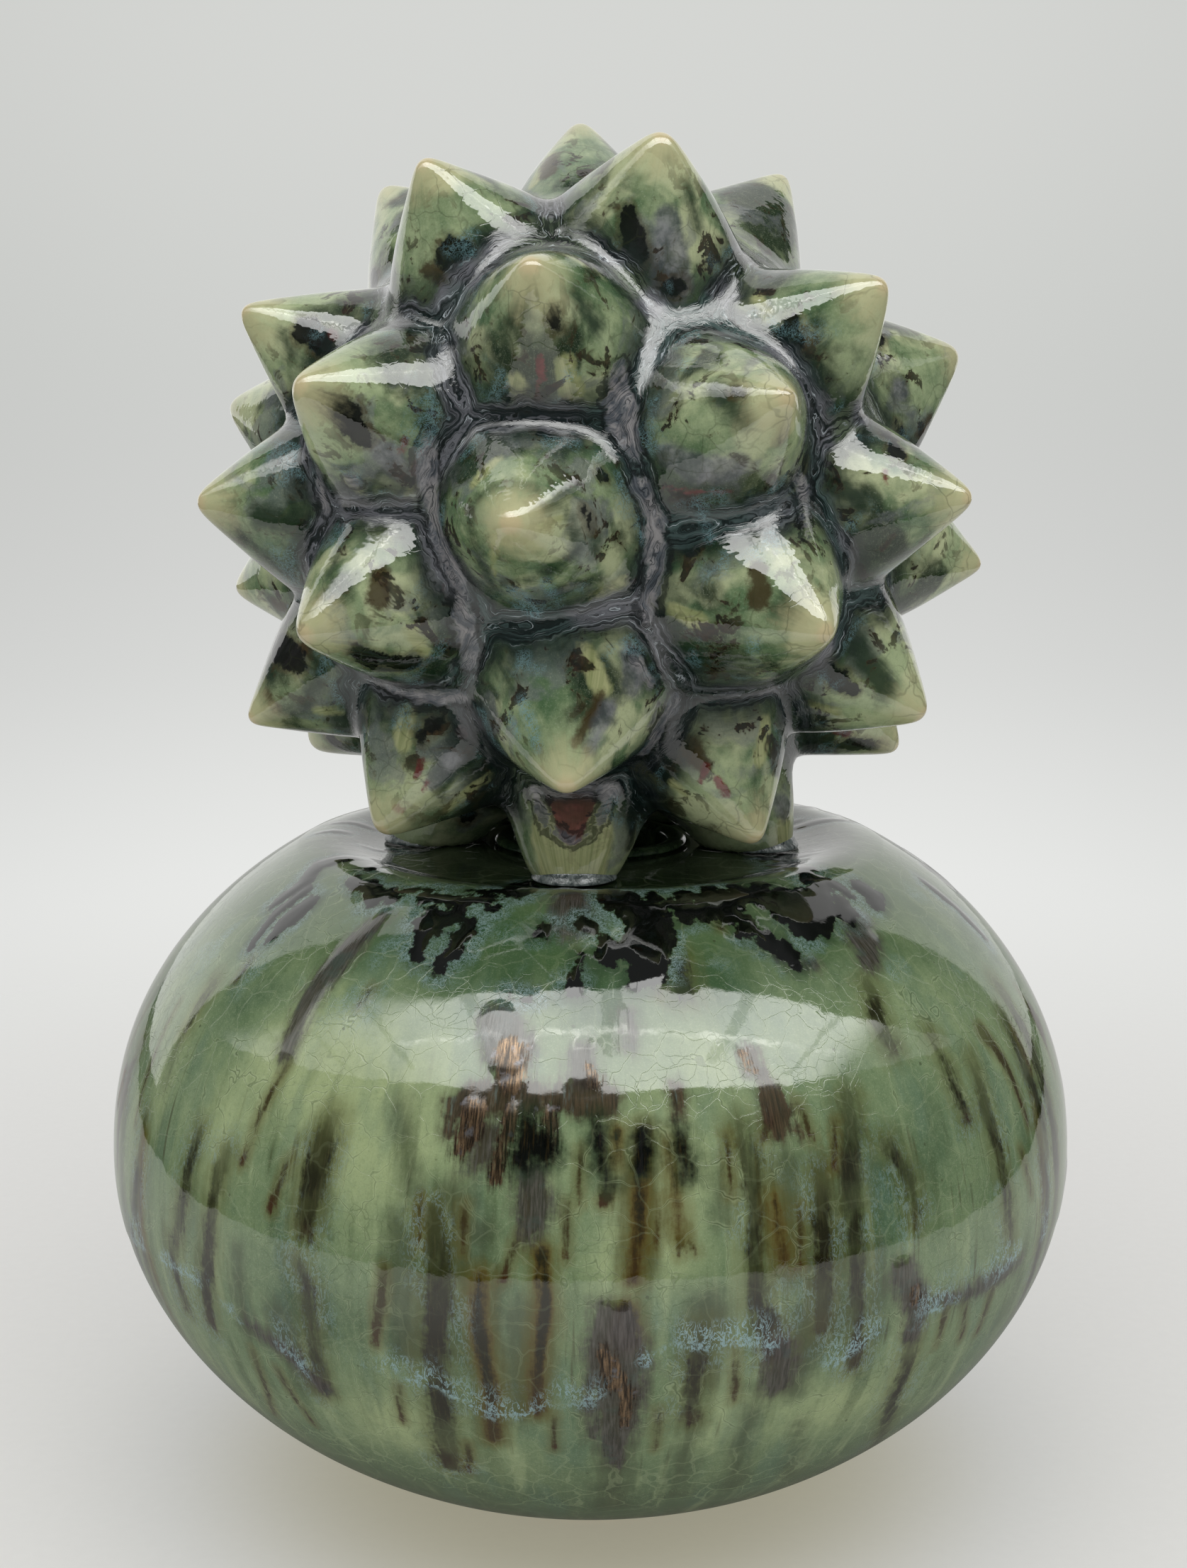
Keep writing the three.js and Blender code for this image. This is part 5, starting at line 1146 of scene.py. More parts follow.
    # craze lines
    bent = g.vmath("ADD", p, g.vmath("SCALE", g.noise(p, 0.16, 2.0, 0.5, colour=True), scale=5.0))
    wide = g.cracks(bent, 0.13)
    small = g.cracks(bent, 0.30)
    show = g.smooth(g.noise(p, 0.05, 2.0, 0.5), 0.42, 0.58)
    some = g.smooth(g.noise(p, 0.028, 2.0, 0.5), 0.36, 0.52, 0.65, 1.0)
    crack = g.math("MAXIMUM", g.smooth(wide, 0.012, 0.003), g.math("MULTIPLY", g.smooth(small, 0.026, 0.008), g.math("MULTIPLY", show, 0.8)))
    crack = g.math("MULTIPLY", g.math("MULTIPLY", crack, some), g.smooth(high, 34.0, 58.0, 0.2, 1.0))
    crack = g.math("MULTIPLY", crack, plain)
    colour = g.mix(g.math("MULTIPLY", crack, 0.34), colour, srgb(56, 70, 42))
    # painted highlight: a pale band along the raised edge of the craze lines
    crack_highlight = g.math("MULTIPLY", g.math("SUBTRACT", g.smooth(wide, 0.032, 0.012), crack, clamp=True), g.math("MULTIPLY", g.math("MULTIPLY", some, plain), 0.17))
    colour = g.mix(crack_highlight, colour, srgb(196, 210, 166))
    # pinholes
    pin = g.new("ShaderNodeTexVoronoi", feature="F1")
    g.put(pin.inputs["Vector"], p)
    g.put(pin.inputs["Scale"], 0.13)
    colour = g.mix(g.math("MULTIPLY", g.smooth(pin.outputs["Distance"], 0.055, 0.03), 0.5), colour, srgb(50, 52, 28))

    inside = g.math("SUBTRACT", 1.0, g.attr("outside"))
    colour = g.mix(inside, colour, srgb(70, 84, 60))

    rough = g.math("MULTIPLY_ADD", fine, 0.008, 0.035)
    rough = g.math("MULTIPLY_ADD", grey, 0.05, rough)
    rough = g.math("MULTIPLY_ADD", umber, 0.03, rough)
    rough = g.math("MULTIPLY_ADD", bronze, 0.10, rough)
    relief = g.math("MULTIPLY_ADD", crack, -0.014, g.math("MULTIPLY", fine, 0.0012))
    relief = g.math("MULTIPLY_ADD", warp, 0.006, relief)
    relief = g.math("MULTIPLY_ADD", grey, g.math("MULTIPLY", hair, 0.008), relief)
    relief = g.math("MULTIPLY_ADD", bronze, g.math("MULTIPLY", hair, 0.020), relief)
    relief = g.math("MULTIPLY_ADD", pale, 0.006, relief)
    relief = g.math("MULTIPLY_ADD", broad, 0.08, relief)
    normal = g.bump(relief, MM)
    metal = g.math("MULTIPLY", bronze, 0.5)
    return g.finish(colour, rough, normal, metal)


def ball_glaze():
    g = Graph("ball_celadon_glaze")
    p = g.object_mm()
    gap, off = g.attr("gap"), g.attr("off")
    under, leg = g.attr("under"), g.attr("leg")
    flow = g.attr("flow", vector=True)
    warp = centred(g, g.noise(p, 0.16, 3.0, 0.6))
    lump = centred(g, g.noise(p, 0.30, 4.0, 0.62))
    fine = centred(g, g.noise(p, 0.9, 3.0, 0.65))
    grain = centred(g, g.noise(p, 3.2, 3.0, 0.65))
    broad = centred(g, g.noise(p, 0.07, 3.0, 0.55))

    # streaks and patches that run down a cone from its tip
    def down(length, spread, seed):
        away = g.new("ShaderNodeCombineXYZ")
        g.put(away.inputs[0], g.math("MULTIPLY_ADD", off, length, seed))
        g.put(away.inputs[2], g.math("MULTIPLY", g.attr("cell"), 37.0))
        return g.vmath("ADD", g.stretched(flow, spread, spread, 0.0), away.outputs[0])
    rays = centred(g, g.noise(down(0.05, 1.9, 0.0), 1.3, 4.0, 0.62, 0.3))
    comb = centred(g, g.noise(down(0.10, 9.0, 3.0), 1.6, 4.0, 0.62, 0.2))
    drift = g.vmath("ADD", p, g.vmath("SCALE", g.noise(p, 0.09, 2.0, 0.5, colour=True), scale=9.0))
    patch_a = g.noise(g.vmath("ADD", drift, (31.0, 7.0, 0.0)), 0.070, 4.0, 0.52, 0.3)
    patch_b = g.noise(g.vmath("ADD", drift, (0.0, 57.0, 19.0)), 0.060, 4.0, 0.50, 0.3)
    patch_c = g.noise(g.vmath("ADD", drift, (71.0, 0.0, 43.0)), 0.075, 5.0, 0.54, 0.5)
    # lines that follow the valleys
    across = g.math("MULTIPLY_ADD", broad, 4.0, g.math("MULTIPLY_ADD", warp, 2.6, gap))
    lines = g.new("ShaderNodeCombineXYZ")
    g.put(lines.inputs[0], g.math("MULTIPLY", across, 0.5))
    bands = g.vmath("ADD", lines.outputs[0], g.stretched(p, 0.045, 0.045, 0.045))
    strata = centred(g, g.noise(bands, 1.5, 4.0, 0.66, 0.2))
    threads = centred(g, g.noise(bands, 4.2, 3.0, 0.66, 0.2))

    # ground colour of the cones
    tone = g.math("MULTIPLY_ADD", rays, 0.30, g.math("MULTIPLY", broad, 0.90))
    tone = g.math("MULTIPLY_ADD", lump, 0.35, tone)
    tone = g.math("MULTIPLY_ADD", g.math("MULTIPLY_ADD", g.attr("cell"), 2.0, -1.0), 0.15, tone)
    colour = g.mix(g.smooth(tone, -0.45, 0.45), srgb(76, 104, 70), srgb(166, 180, 138))
    top = g.smooth(off, 9.0, 3.0, 0.0, 0.07)
    colour = g.mix(g.smooth(g.math("ADD", patch_a, top), 0.50, 0.64, 0.0, 0.78), colour, srgb(192, 198, 156))
    # dark green patches of glaze; their shift towards each cone's foot is painted shade
    base = g.smooth(off, 5.0, 13.0, -0.06, 0.035)
    not_leg = g.math("MULTIPLY_ADD", leg, -0.75, 1.0)
    colour = g.mix(g.math("MULTIPLY", g.smooth(g.math("ADD", patch_b, base), 0.475, 0.63, 0.0, 0.94), not_leg), colour, srgb(20, 38, 22))
    colour = g.mix(g.smooth(g.math("ADD", patch_c, base), 0.535, 0.62, 0.0, 0.55), colour, srgb(112, 116, 118))
    colour = g.mix(g.smooth(comb, 0.15, 0.6, 0.0, 0.16), colour, srgb(46, 62, 40))
    colour = g.mix(g.smooth(comb, -0.15, -0.6, 0.0, 0.14), colour, srgb(168, 180, 148))
    colour = g.mix(g.smooth(fine, 0.0, 0.8, 0.0, 0.4), colour, srgb(46, 62, 40))
    colour = g.mix(g.smooth(fine, 0.0, -0.8, 0.0, 0.28), colour, srgb(176, 186, 152))
    colour = g.mix(g.smooth(grain, -0.05, -0.6, 0.0, 0.28), colour, srgb(194, 202, 176))
    colour = g.mix(g.smooth(grain, 0.05, 0.6, 0.0, 0.25), colour, srgb(40, 54, 36))

    # painted shade: darker at the foot of each cone, towards the valleys
    foot = g.math("MULTIPLY", g.smooth(g.math("MULTIPLY_ADD", lump, 2.5, gap), 15.0, 5.0), g.smooth(off, 8.0, 13.0))
    colour = g.mix(g.math("MULTIPLY", foot, 0.52), colour, srgb(32, 56, 36))

    # marks
    def mark(name, soft, cover, tint, *parts):
        nonlocal colour
        d = ragged(g, g.attr("m_" + name), *parts)
        m = g.smooth(d, soft, -soft)
        colour = g.mix(g.math("MULTIPLY", m, cover), colour, tint)
        return d, m

    mark("deep", 1.8, 0.9, srgb(26, 46, 28), (comb, 1.0), (lump, 1.6))
    # painted shade: dark between and under the lowest cones
    low_cone_shade = g.math("MULTIPLY", g.smooth(g.math("MULTIPLY_ADD", warp, 6.0, under), 122.0, 138.0), g.math("MULTIPLY", g.smooth(g.math("MULTIPLY_ADD", warp, 4.0, gap), 14.0, 7.0), g.math("MULTIPLY_ADD", leg, -0.75, 1.0)))
    colour = g.mix(g.math("MULTIPLY", low_cone_shade, 0.94), colour, srgb(10, 18, 18))
    # painted shade: near-black on the two sides of the front leg
    mark("leg_side_shade", 1.2, 0.92, srgb(12, 24, 24), (lump, 1.6))
    mark("cream", 0.7, 0.88, g.mix(g.smooth(comb, -0.4, 0.4), srgb(138, 146, 98), srgb(180, 182, 134)), (comb, 0.9), (lump, 1.2))
    mark("soft", 0.8, 0.9, srgb(60, 48, 26), (fine, 1.0), (lump, 1.4))
    mark("grey", 1.0, 0.80, g.mix(g.smooth(lump, -0.3, 0.4), srgb(66, 72, 74), srgb(136, 137, 140)), (comb, 0.5), (lump, 2.0))

    # blotches of iron, more of them low on the cones
    iron = g.noise(p, 0.16, 4.0, 0.66, 0.6)
    lower = g.smooth(off, 4.0, 12.0)
    blot = g.math("MULTIPLY", g.math("MULTIPLY", g.smooth(iron, 0.585, 0.61), lower), not_leg)
    colour = g.mix(g.math("MULTIPLY", g.smooth(iron, 0.55, 0.60, 0.0, 0.4), not_leg), colour, srgb(70, 60, 34))
    colour = g.mix(g.math("MULTIPLY", blot, 0.9), colour, g.mix(g.smooth(fine, -0.3, 0.5), srgb(14, 16, 10), srgb(52, 36, 24)))
    d_black, black = mark("black", 0.45, 0.97, srgb(9, 10, 7), (lump, 2.2), (fine, 0.6), (1.0, -0.35))
    colour = g.mix(g.math("MULTIPLY", g.smooth(d_black, 1.6, 0.2), g.math("SUBTRACT", 0.45, g.math("MULTIPLY", black, 0.45))), colour, srgb(74, 58, 32))
    mark("rust", 0.4, 0.92, g.mix(g.smooth(lump, -0.3, 0.4), srgb(84, 38, 34), srgb(122, 62, 60)), (fine, 0.8), (lump, 0.8))

    # pale worn tips
    tip = ragged(g, off, (rays, 2.0), (lump, 2.2), (comb, 0.5))
    on_cone = g.math("SUBTRACT", 1.0, leg)
    colour = g.mix(g.math("MULTIPLY", g.smooth(tip, 6.0, 1.8), g.math("MULTIPLY", on_cone, 0.78)), colour, srgb(192, 189, 146))
    nib = g.smooth(g.math("MULTIPLY_ADD", fine, 0.6, off), 1.9, 0.7)
    colour = g.mix(g.math("MULTIPLY", nib, g.math("MULTIPLY", on_cone, 0.6)), colour, srgb(206, 186, 146))

    # lavender-grey glaze pooled in the valleys, with fine flow lines; its pale threads are painted highlights
    d_valley = ragged(g, gap, (strata, 2.4), (threads, 1.6), (warp, 4.2), (lump, 1.0))
    pool = g.math("MULTIPLY", g.smooth(d_valley, 6.4, 3.0), g.smooth(off, 7.0, 11.0))
    level = g.smooth(strata, -0.20, 0.28)
    kind = g.noise(p, 0.032, 2.0, 0.5)
    pooled = g.mix(level, srgb(18, 27, 29), srgb(112, 113, 119))
    pooled = g.mix(g.smooth(kind, 0.50, 0.58), pooled, g.mix(level, srgb(12, 26, 26), srgb(70, 88, 86)))
    pooled = g.mix(g.smooth(kind, 0.45, 0.39, 0.0, 0.8), pooled, g.mix(level, srgb(26, 38, 22), srgb(92, 108, 78)))
    # painted highlights: pale threads in the pooled glaze
    pooled = g.mix(g.smooth(threads, 0.20, 0.34, 0.0, 0.75), pooled, srgb(188, 197, 202))
    pooled = g.mix(g.smooth(threads, -0.10, -0.26, 0.0, 0.94), pooled, srgb(10, 15, 15))
    # painted shade: the pooled glaze made near-black on the ball's underside
    pooled = g.mix(g.math("MULTIPLY", g.smooth(under, 112.0, 134.0, 0.0, 0.85), g.math("MULTIPLY_ADD", leg, -0.6, 1.0)), pooled, srgb(14, 22, 24))
    # painted shade: darker along the edges of the valleys between cones
    valley_edge_shade = g.math("MULTIPLY", g.smooth(d_valley, 11.0, 5.0), g.smooth(off, 8.0, 11.0))
    colour = g.mix(g.math("MULTIPLY", valley_edge_shade, g.smooth(lump, -0.4, 0.3, 0.35, 0.85)), colour, srgb(20, 34, 28))
    colour = g.mix(g.math("MULTIPLY", pool, 0.95), colour, pooled)

    # milky tongues with a dark outline in some of the valleys: pooled glaze, partly painted reflection
    milk_sheen_d = ragged(g, g.attr("m_milk"), (strata, 1.8), (lump, 1.8), (warp, 1.8), (1.0, -0.1))
    low_place = g.math("MAXIMUM", g.smooth(d_valley, 11.5, 8.5), leg)
    outline = g.smooth(g.math("ABSOLUTE", g.math("SUBTRACT", milk_sheen_d, 0.75)), 0.75, 0.25)
    colour = g.mix(g.math("MULTIPLY", g.math("MULTIPLY", outline, low_place), 0.70), colour, srgb(12, 17, 18))
    milk = g.math("MULTIPLY", g.smooth(milk_sheen_d, 0.5, -0.5), low_place)
    milky_sheen_colour = g.mix(g.smooth(g.math("ADD", lump, strata), -0.4, 0.4), srgb(80, 85, 92), srgb(156, 152, 152))
    milky_sheen_colour = g.mix(g.smooth(threads, -0.02, -0.22, 0.0, 0.8), milky_sheen_colour, srgb(36, 42, 48))
    colour = g.mix(g.math("MULTIPLY", milk, 0.80), colour, milky_sheen_colour)

    # turquoise threads
    curl = g.math("MAXIMUM", filaments(g, p, 0.60), filaments(g, p, 1.2, 0.08, 0.02))
    wisp = g.smooth(g.attr("m_wisp"), 1.0, -1.0)
    stray = g.math("MULTIPLY", g.math("MULTIPLY", g.smooth(d_valley, 14.0, 9.0), g.smooth(d_valley, 4.0, 6.0)), g.smooth(g.noise(p, 0.11, 2.0, 0.5), 0.52, 0.64))
    wisp = g.math("MULTIPLY", g.math("MAXIMUM", wisp, g.math("MULTIPLY", stray, 0.7)), curl)
    colour = g.mix(g.math("MULTIPLY", wisp, 0.75), colour, srgb(122, 160, 166))

    # craze lines
    bent = g.vmath("ADD", p, g.vmath("SCALE", g.noise(p, 0.2, 2.0, 0.5, colour=True), scale=4.0))
    net = g.cracks(bent, 0.17)
    show = g.smooth(g.noise(p, 0.06, 2.0, 0.5), 0.42, 0.6)
    crack = g.math("MULTIPLY", g.smooth(net, 0.035, 0.01), g.math("MULTIPLY", g.math("MULTIPLY", show, not_leg), g.math("SUBTRACT", 1.0, pool)))
    colour = g.mix(g.math("MULTIPLY", crack, 0.3), colour, srgb(50, 56, 32))

    rough = g.math("MULTIPLY_ADD", fine, 0.005, 0.018)
    relief = g.math("MULTIPLY_ADD", crack, -0.010, g.math("MULTIPLY", fine, 0.0004))
    relief = g.math("MULTIPLY_ADD", warp, 0.09, relief)
    relief = g.math("MULTIPLY_ADD", lump, 0.003, relief)
    relief = g.math("MULTIPLY_ADD", g.math("MULTIPLY", pool, strata), 0.05, relief)
    relief = g.math("MULTIPLY_ADD", g.math("MULTIPLY", pool, threads), 0.004, relief)
    relief = g.math("MULTIPLY_ADD", black, 0.02, relief)
    normal = g.bump(relief, MM)
    return g.finish(colour, rough, normal, ior=1.77)


def slip_glaze():
    g = Graph("pooled_slip_glaze")
    p = g.object_mm()
    a = centred(g, g.noise(p, 0.5, 4.0, 0.65, 0.8))
    b = centred(g, g.noise(p, 2.2, 3.0, 0.6))
    colour = g.mix(g.smooth(a, -0.4, 0.5), srgb(44, 56, 56), srgb(140, 148, 146))
    colour = g.mix(g.smooth(b, 0.2, 0.7, 0.0, 0.5), colour, srgb(150, 174, 176))
    relief = g.math("MULTIPLY_ADD", a, 0.10, g.math("MULTIPLY", b, 0.02))
    return g.finish(colour, 0.04, g.bump(relief, MM))


def lip_glaze():
    g = Graph("mouth_glaze")
    p = g.object_mm()
    a = centred(g, g.noise(p, 0.22, 4.0, 0.65, 0.8))
    b = centred(g, g.noise(p, 1.6, 3.0, 0.6))
    colour = g.mix(g.smooth(a, -0.4, 0.5), srgb(30, 50, 34), srgb(86, 106, 72))
    colour = g.mix(g.smooth(b, 0.1, 0.8, 0.0, 0.4), colour, srgb(18, 22, 14))
    relief = g.math("MULTIPLY_ADD", a, 0.08, g.math("MULTIPLY", b, 0.02))
    return g.finish(colour, 0.06, g.bump(relief, MM))


def bare_clay():
    g = Graph("bare_foot_clay")
    p = g.object_mm()
    a = centred(g, g.noise(p, 0.35, 4.0, 0.6))
    b = centred(g, g.noise(p, 3.0, 4.0, 0.7))
    colour = g.mix(g.smooth(a, -0.5, 0.5), srgb(120, 88, 60), srgb(182, 150, 112))
    colour = g.mix(g.smooth(b, 0.1, 0.6, 0.0, 0.6), colour, srgb(84, 58, 40))
    rough = g.smooth(b, -0.6, 0.6, 0.62, 0.85)
    relief = g.math("MULTIPLY_ADD", a, 0.12, g.math("MULTIPLY", b, 0.08))
    return g.finish(colour, rough, g.bump(relief, MM))


# --------------------------------------------------------------------------
# the object
# --------------------------------------------------------------------------
ball = build_ball()
ball.data.materials.append(ball_glaze())
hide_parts("ball_upper", "ball_lower", *["cone_%02d" % (i + 1) for i in range(N_CONES)], *["leg_" + k for k in LEGS])

body = build_body()
body.data.materials.append(body_glaze())
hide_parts("body_upper", "body_lower")

slip = slip_glaze()
pieces = [ball, body]
foot_out = math.tan(math.radians(180 - LEG_POLAR)) * (BALL_Z - PLATEAU)
for n, (key, azimuth) in enumerate(LEGS.items()):
    centre = body_point(azimuth, foot_out, 0)[:2]
    loop = [(5.4, 139.5), (8.3, 139.45), (8.55, 139.7), (8.35, 140.2), (7.95, 140.75), (7.7, 141.3), (7.5, 141.75),
            (7.15, 142.05), (6.75, 142.0), (6.3, 141.75), (5.4, 141.4)]
    loop = rounded(loop + loop[:1], 2)[:-1]
    collar = turned("collar_%s_bead" % key, loop, 96, centre, (1.0, 1.0), 0.0, 0.012, 60 + n)
    collar.data.materials.append(slip)
    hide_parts("collar_" + key)
    pieces.append(collar)

lip_loop = [(16.2, 131.8), (18.9, 131.8), (18.95, 139.0), (19.6, 139.6), (20.45, 139.85), (20.5, 140.4), (19.9, 141.0),
            (18.9, 141.35), (17.7, 141.3), (16.7, 140.9), (16.15, 140.2), (16.1, 139.0)]
lip = turned("mouth_rolled_lip", rounded(lip_loop + lip_loop[:1], 2)[:-1], 128, wobble=0.004, seed=3)
lip.data.materials.append(lip_glaze())
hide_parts("mouth_lip")
pieces.append(lip)

foot_loop = [(26.5, 0.6), (27.2, 0.05), (31.6, 0.05), (32.5, 0.8), (32.5, 3.0), (27.0, 2.6), (26.5, 2.6)]
foot = turned("foot_ring_clay", rounded(foot_loop + foot_loop[:1], 2)[:-1], 128, wobble=0.0015, seed=4)
foot.data.materials.append(bare_clay())
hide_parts("foot_ring")
pieces.append(foot)

for piece in pieces:
    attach(piece, "root")

# --------------------------------------------------------------------------
# studio
# --------------------------------------------------------------------------
SCENE.view_settings.view_transform = "Standard"
SCENE.view_settings.look = "None"


def build_floor():
    """A pale table top that melts into the backdrop; in reflections it ends at an edge, as the real one does."""
    rings, cols = 40, 96
    radii = 3000 * (np.linspace(0, 1, rings + 1)[1:]) ** 1.8
    a = np.linspace(0, 2 * np.pi, cols, endpoint=False)
    points = [[0, 0, -0.03]]
    for r in radii:
        points += [[r * math.cos(t), r * math.sin(t), -0.03] for t in a]
    faces = [[0, 1 + j, 1 + (j + 1) % cols] for j in range(cols)]
    for i in range(rings - 1):
        s, e = 1 + i * cols, 1 + (i + 1) * cols
        faces += [[s + j, e + j, e + (j + 1) % cols, s + (j + 1) % cols] for j in range(cols)]
    floor = make_mesh("studio_table", points, faces)
    g = Graph("studio_table_card")
    p = g.object_mm()
    place = g.new("ShaderNodeSeparateXYZ")
    g.put(place.inputs[0], p)
    x, y = place.outputs[0], place.outputs[1]
    grain = g.noise(p, 0.35, 4.0, 0.6)
    round_it = g.math("SQRT", g.math("ADD", g.math("MULTIPLY", x, x), g.math("MULTIPLY", y, y)))
    # painted shade: a warm tint on the table under and round the vase's foot
    warm_shade_tint = g.mix(g.smooth(round_it, 100.0, 40.0), (1.0, 1.0, 1.0, 1), (1.0, 0.95, 0.76, 1))
    matte = g.new("ShaderNodeBsdfDiffuse")
    g.put(matte.inputs["Color"], g.mix(1.0, g.mix(grain, (0.565, 0.56, 0.545, 1), (0.60, 0.595, 0.58, 1)), warm_shade_tint, "MULTIPLY"))
    glow = g.new("ShaderNodeEmission")
    g.put(glow.inputs["Color"], g.mix(1.0, (0.262, 0.260, 0.253, 1), warm_shade_tint, "MULTIPLY"))
    card = g.new("ShaderNodeAddShader")
    g.put(card.inputs[0], matte.outputs[0])
    g.put(card.inputs[1], glow.outputs[0])
    # in reflections the table ends in front, and the dim room begins
    front = g.math("MINIMUM", y, 0.0)
    out = g.math("SQRT", g.math("ADD", g.math("MULTIPLY", x, x), g.math("MULTIPLY", front, front)))
    limit = g.math("MULTIPLY_ADD", g.math("MAXIMUM", y, 0.0), 0.45, 415.0)
    beyond = g.math("SUBTRACT", out, limit)
    room = g.new("ShaderNodeEmission")
    room.inputs["Strength"].default_value = 1.0
    g.put(room.inputs["Color"], g.mix(g.smooth(beyond, 30.0, 80.0), (0.004, 0.005, 0.004, 1), (0.07, 0.075, 0.07, 1)))
    # painted shadow: in reflections the table near the vase is dark
    path = g.new("ShaderNodeLightPath")
    shade = g.new("ShaderNodeEmission")
    g.put(shade.inputs["Color"], (0.035, 0.04, 0.03, 1))
    near = g.math("MULTIPLY", g.smooth(round_it, 300.0, 40.0, 0.16, 0.82), path.outputs["Is Glossy Ray"])
    dimmed = g.new("ShaderNodeMixShader")
    g.put(dimmed.inputs[0], near)
    g.put(dimmed.inputs[1], card.outputs[0])
    g.put(dimmed.inputs[2], shade.outputs[0])
    hide = g.math("MULTIPLY", g.smooth(beyond, -2.0, 4.0), path.outputs["Is Glossy Ray"])
    both = g.new("ShaderNodeMixShader")
    g.put(both.inputs[0], hide)
    g.put(both.inputs[1], dimmed.outputs[0])
    g.put(both.inputs[2], room.outputs[0])
    away = g.math("SQRT", g.math("ADD", g.math("MULTIPLY", x, x), g.math("MULTIPLY", y, y)))
    clear = g.new("ShaderNodeBsdfTransparent")
    fade = g.new("ShaderNodeMixShader")
    g.put(fade.inputs[0], g.math("MULTIPLY", g.smooth(away, 150.0, 650.0), g.math("SUBTRACT", 1.0, path.outputs["Is Glossy Ray"])))
    g.put(fade.inputs[1], both.outputs[0])
    g.put(fade.inputs[2], clear.outputs[0])
    g.tree.links.new(fade.outputs[0], g.out.inputs["Surface"])
    floor.data.materials.append(g.mat)


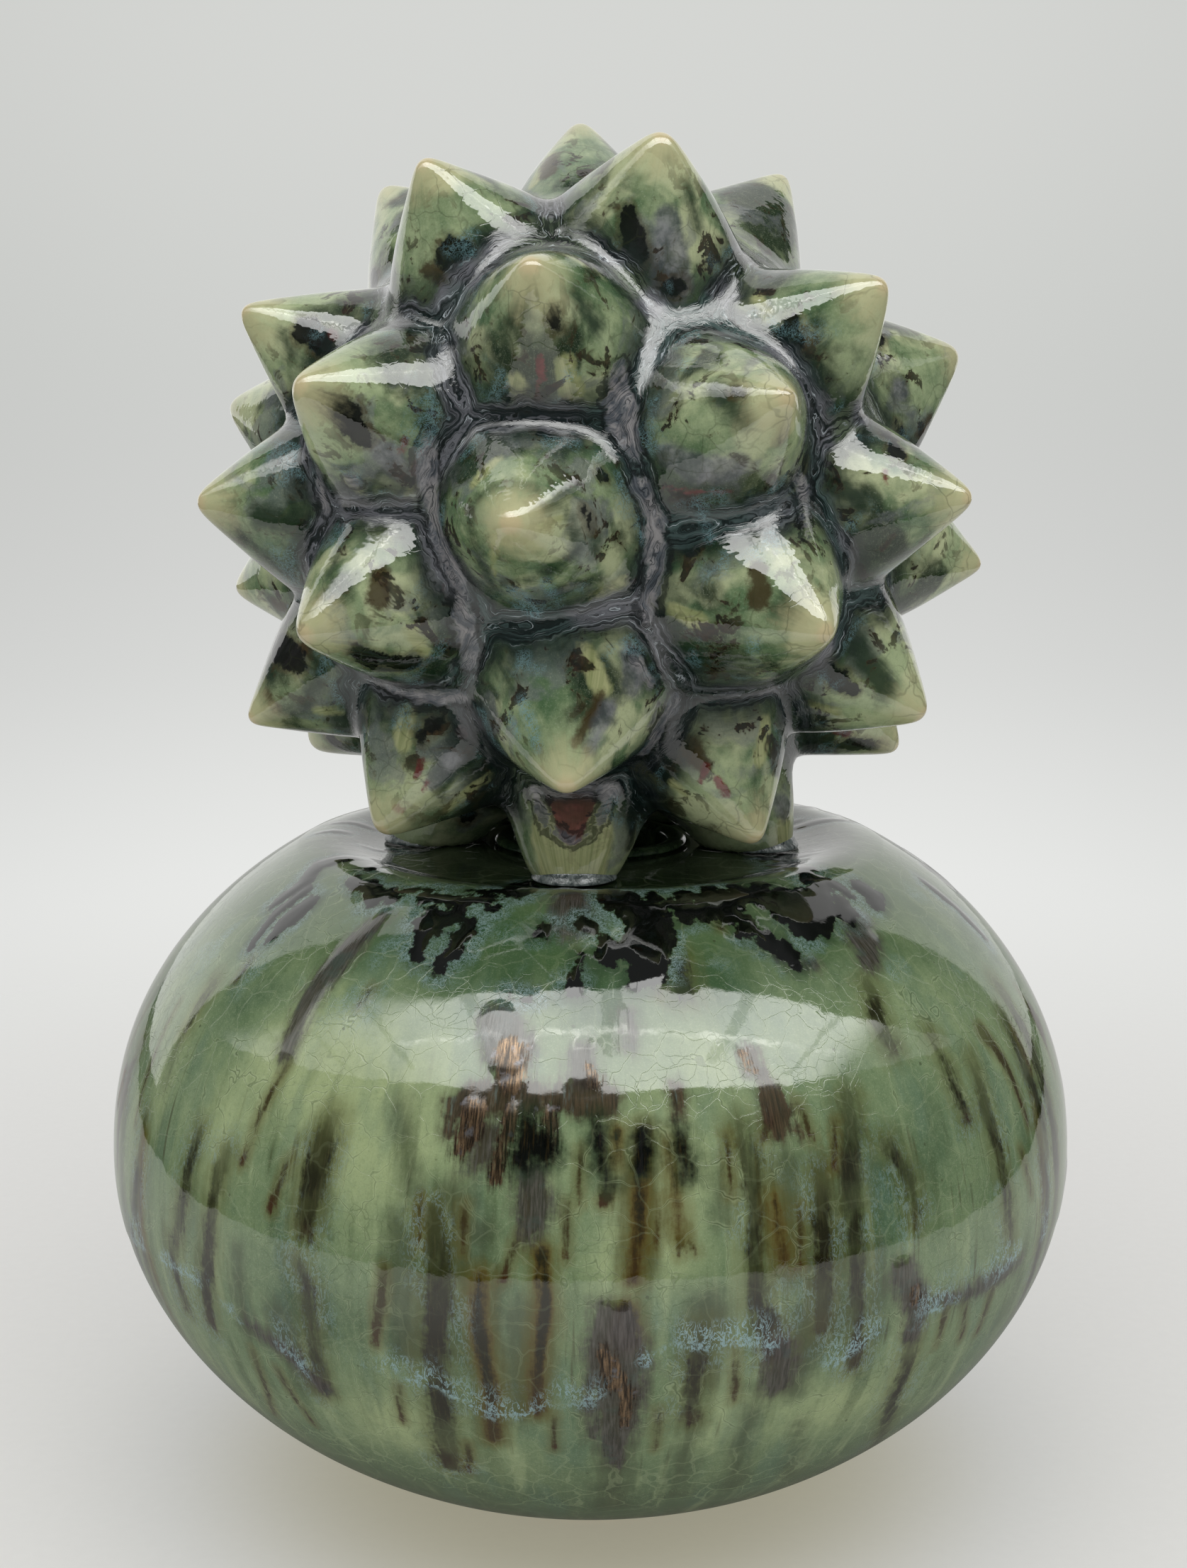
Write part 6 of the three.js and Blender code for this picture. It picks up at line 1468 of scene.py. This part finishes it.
def build_world():
    """Pale backdrop to the eye; what the glaze mirrors is a pale card behind, a dim room in front and a bright ceiling."""
    world = bpy.data.worlds.new("studio_backdrop")
    SCENE.world = world
    world.use_nodes = True
    g = Graph.__new__(Graph)
    g.tree = world.node_tree
    g.tree.nodes.clear()
    out = g.new("ShaderNodeOutputWorld")
    coord = g.new("ShaderNodeTexCoord")
    part = g.new("ShaderNodeSeparateXYZ")
    g.put(part.inputs[0], coord.outputs["Generated"])
    x, y, z = part.outputs
    seen = g.new("ShaderNodeValToRGB")
    ramp = seen.color_ramp
    ramp.interpolation = "B_SPLINE"
    stops = [(0.0, srgb(232, 233, 229)), (0.34, srgb(240, 241, 238)), (0.38, srgb(236, 237, 235)), (0.41, srgb(229, 230, 228)),
             (0.44, srgb(216, 217, 215)), (0.48, srgb(207, 208, 206)), (0.52, srgb(206, 208, 205)), (0.58, srgb(215, 216, 213)), (0.68, srgb(208, 210, 207)), (1.0, srgb(206, 208, 206))]
    while len(ramp.elements) < len(stops):
        ramp.elements.new(0.5)
    for element, (place, tint) in zip(ramp.elements, stops):
        element.position = place
        element.color = tint
    g.put(seen.inputs[0], g.math("MULTIPLY_ADD", z, 0.5, 0.5))
    flat = g.math("SQRT", g.math("ADD", g.math("MULTIPLY", x, x), g.math("MULTIPLY", y, y)))
    behind = g.math("DIVIDE", y, g.math("MAXIMUM", flat, 0.001))
    pale = g.mix(g.smooth(behind, 1.0, 0.95), seen.outputs[0], g.mix(1.0, seen.outputs[0], (0.93, 0.93, 0.93, 1), "MULTIPLY"))

    # the mirrored room: px, py are where a ray meets a ceiling one unit up, py towards the front
    up = g.math("MAXIMUM", z, 0.02)
    px = g.math("DIVIDE", x, up)
    py = g.math("DIVIDE", g.math("MULTIPLY", y, -1.0), up)
    px2 = g.math("MULTIPLY", px, px)
    wavy = g.noise(coord.outputs["Generated"], 3.0, 2.0, 0.5)
    rim = g.math("MULTIPLY_ADD", px2, -0.25, 0.95)
    inside = g.math("MULTIPLY", g.smooth(g.math("SUBTRACT", rim, py), -0.012, 0.012), g.smooth(z, 0.30, 0.40))
    across = g.math("MULTIPLY", g.smooth(px, -1.25, -0.30, 0.22, 1.0), g.smooth(px, 1.55, 0.98, 0.12, 1.0))
    depth = g.math("MULTIPLY_ADD", px2, 0.16, g.math("MULTIPLY_ADD", wavy, 0.10, py))
    depth = g.math("ADD", depth, g.math("MULTIPLY", g.smooth(px, 0.33, 0.36, 0.0, 0.035), g.smooth(px, 0.86, 0.83)))
    blur = g.smooth(px, -0.35, -0.95, 0.02, 0.30)
    depth = g.smooth(g.math("DIVIDE", g.math("SUBTRACT", depth, 0.205), blur), -0.5, 0.5)
    panel = g.math("MULTIPLY", inside, g.math("MULTIPLY", across, depth))
    bar = g.math("ABSOLUTE", g.math("SUBTRACT", g.math("FRACT", g.math("MULTIPLY_ADD", px, 2.2, 0.35)), 0.5))
    bars = g.math("MULTIPLY", g.smooth(bar, 0.07, 0.045, 0.0, 0.40), g.smooth(py, 0.62, 0.58))
    panel = g.math("MULTIPLY", panel, g.math("SUBTRACT", 1.0, bars))
    tube = g.smooth(g.math("ABSOLUTE", g.math("SUBTRACT", py, g.math("MULTIPLY_ADD", px2, -0.10, 0.42))), 0.035, 0.012)
    tube = g.math("MULTIPLY", tube, g.math("MULTIPLY", g.smooth(px, -1.0, -0.5), g.smooth(px, 1.3, 0.9)))
    aside = g.math("ADD", behind, g.smooth(x, -0.10, -0.50, 0.0, 0.105))
    card = g.math("MULTIPLY", g.smooth(aside, 0.655, 0.675), g.math("MAXIMUM", g.smooth(z, 0.85, 0.75), g.smooth(py, -0.22, -0.30)))
    room = g.mix(g.smooth(z, -0.25, 0.5), (0.11, 0.115, 0.11, 1), (0.035, 0.04, 0.038, 1))
    room = g.mix(g.smooth(wavy, 0.52, 0.60, 0.0, 0.6), room, (0.15, 0.15, 0.16, 1))
    mirrored = g.mix(g.smooth(z, 0.72, 0.9), room, (0.14, 0.145, 0.15, 1))
    mirrored = g.mix(card, mirrored, g.mix(g.smooth(x, -0.15, -0.45), (0.92, 0.92, 0.90, 1), (1.12, 1.12, 1.10, 1)))
    mirrored = g.mix(panel, mirrored, (4.9, 4.93, 4.85, 1))
    flecks = g.smooth(g.noise(coord.outputs["Generated"], 22.0, 3.0, 0.6), 0.42, 0.60, 0.15, 1.0)
    mirrored = g.mix(g.math("MULTIPLY", g.math("MULTIPLY", tube, flecks), 0.55), mirrored, (11.0, 10.9, 10.5, 1))
    path = g.new("ShaderNodeLightPath")
    colour = g.mix(path.outputs["Is Glossy Ray"], g.mix(path.outputs["Is Camera Ray"], (0.56, 0.565, 0.57, 1), pale), mirrored)
    back = g.new("ShaderNodeBackground")
    g.put(back.inputs["Color"], colour)
    g.tree.links.new(back.outputs[0], out.inputs["Surface"])


def area(name, place, target, size, strength, tint=(1, 1, 1)):
    """A soft box: strength is the brightness of its face."""
    light = bpy.data.lights.new(name, "AREA")
    light.shape = "RECTANGLE"
    light.size, light.size_y = size
    light.energy = strength * math.pi * size[0] * size[1]
    light.color = tint
    ob = bpy.data.objects.new(name, light)
    SCENE.collection.objects.link(ob)
    ob.location = place
    from mathutils import Vector
    ob.rotation_euler = (Vector(target) - Vector(place)).to_track_quat("-Z", "Y").to_euler()
    ob.visible_camera = False
    ob.visible_glossy = False
    return ob


build_floor()
build_world()
area("overhead_soft_box", (0.02, -0.38, 0.80), (0.02, -0.10, 0.0), (1.15, 0.75), 1.35, (1.0, 0.985, 0.96))

camera_data = bpy.data.cameras.new("camera")
camera_data.lens = 48.82
camera_data.sensor_width = 36.0
camera_data.sensor_fit = "AUTO"
camera_data.clip_start = 0.01
camera_data.clip_end = 50.0
camera = bpy.data.objects.new("camera", camera_data)
SCENE.collection.objects.link(camera)
camera.location = (0.0006, -0.4475, 0.2309)
camera.rotation_euler = (math.radians(80), 0.0, 0.0)
SCENE.camera = camera
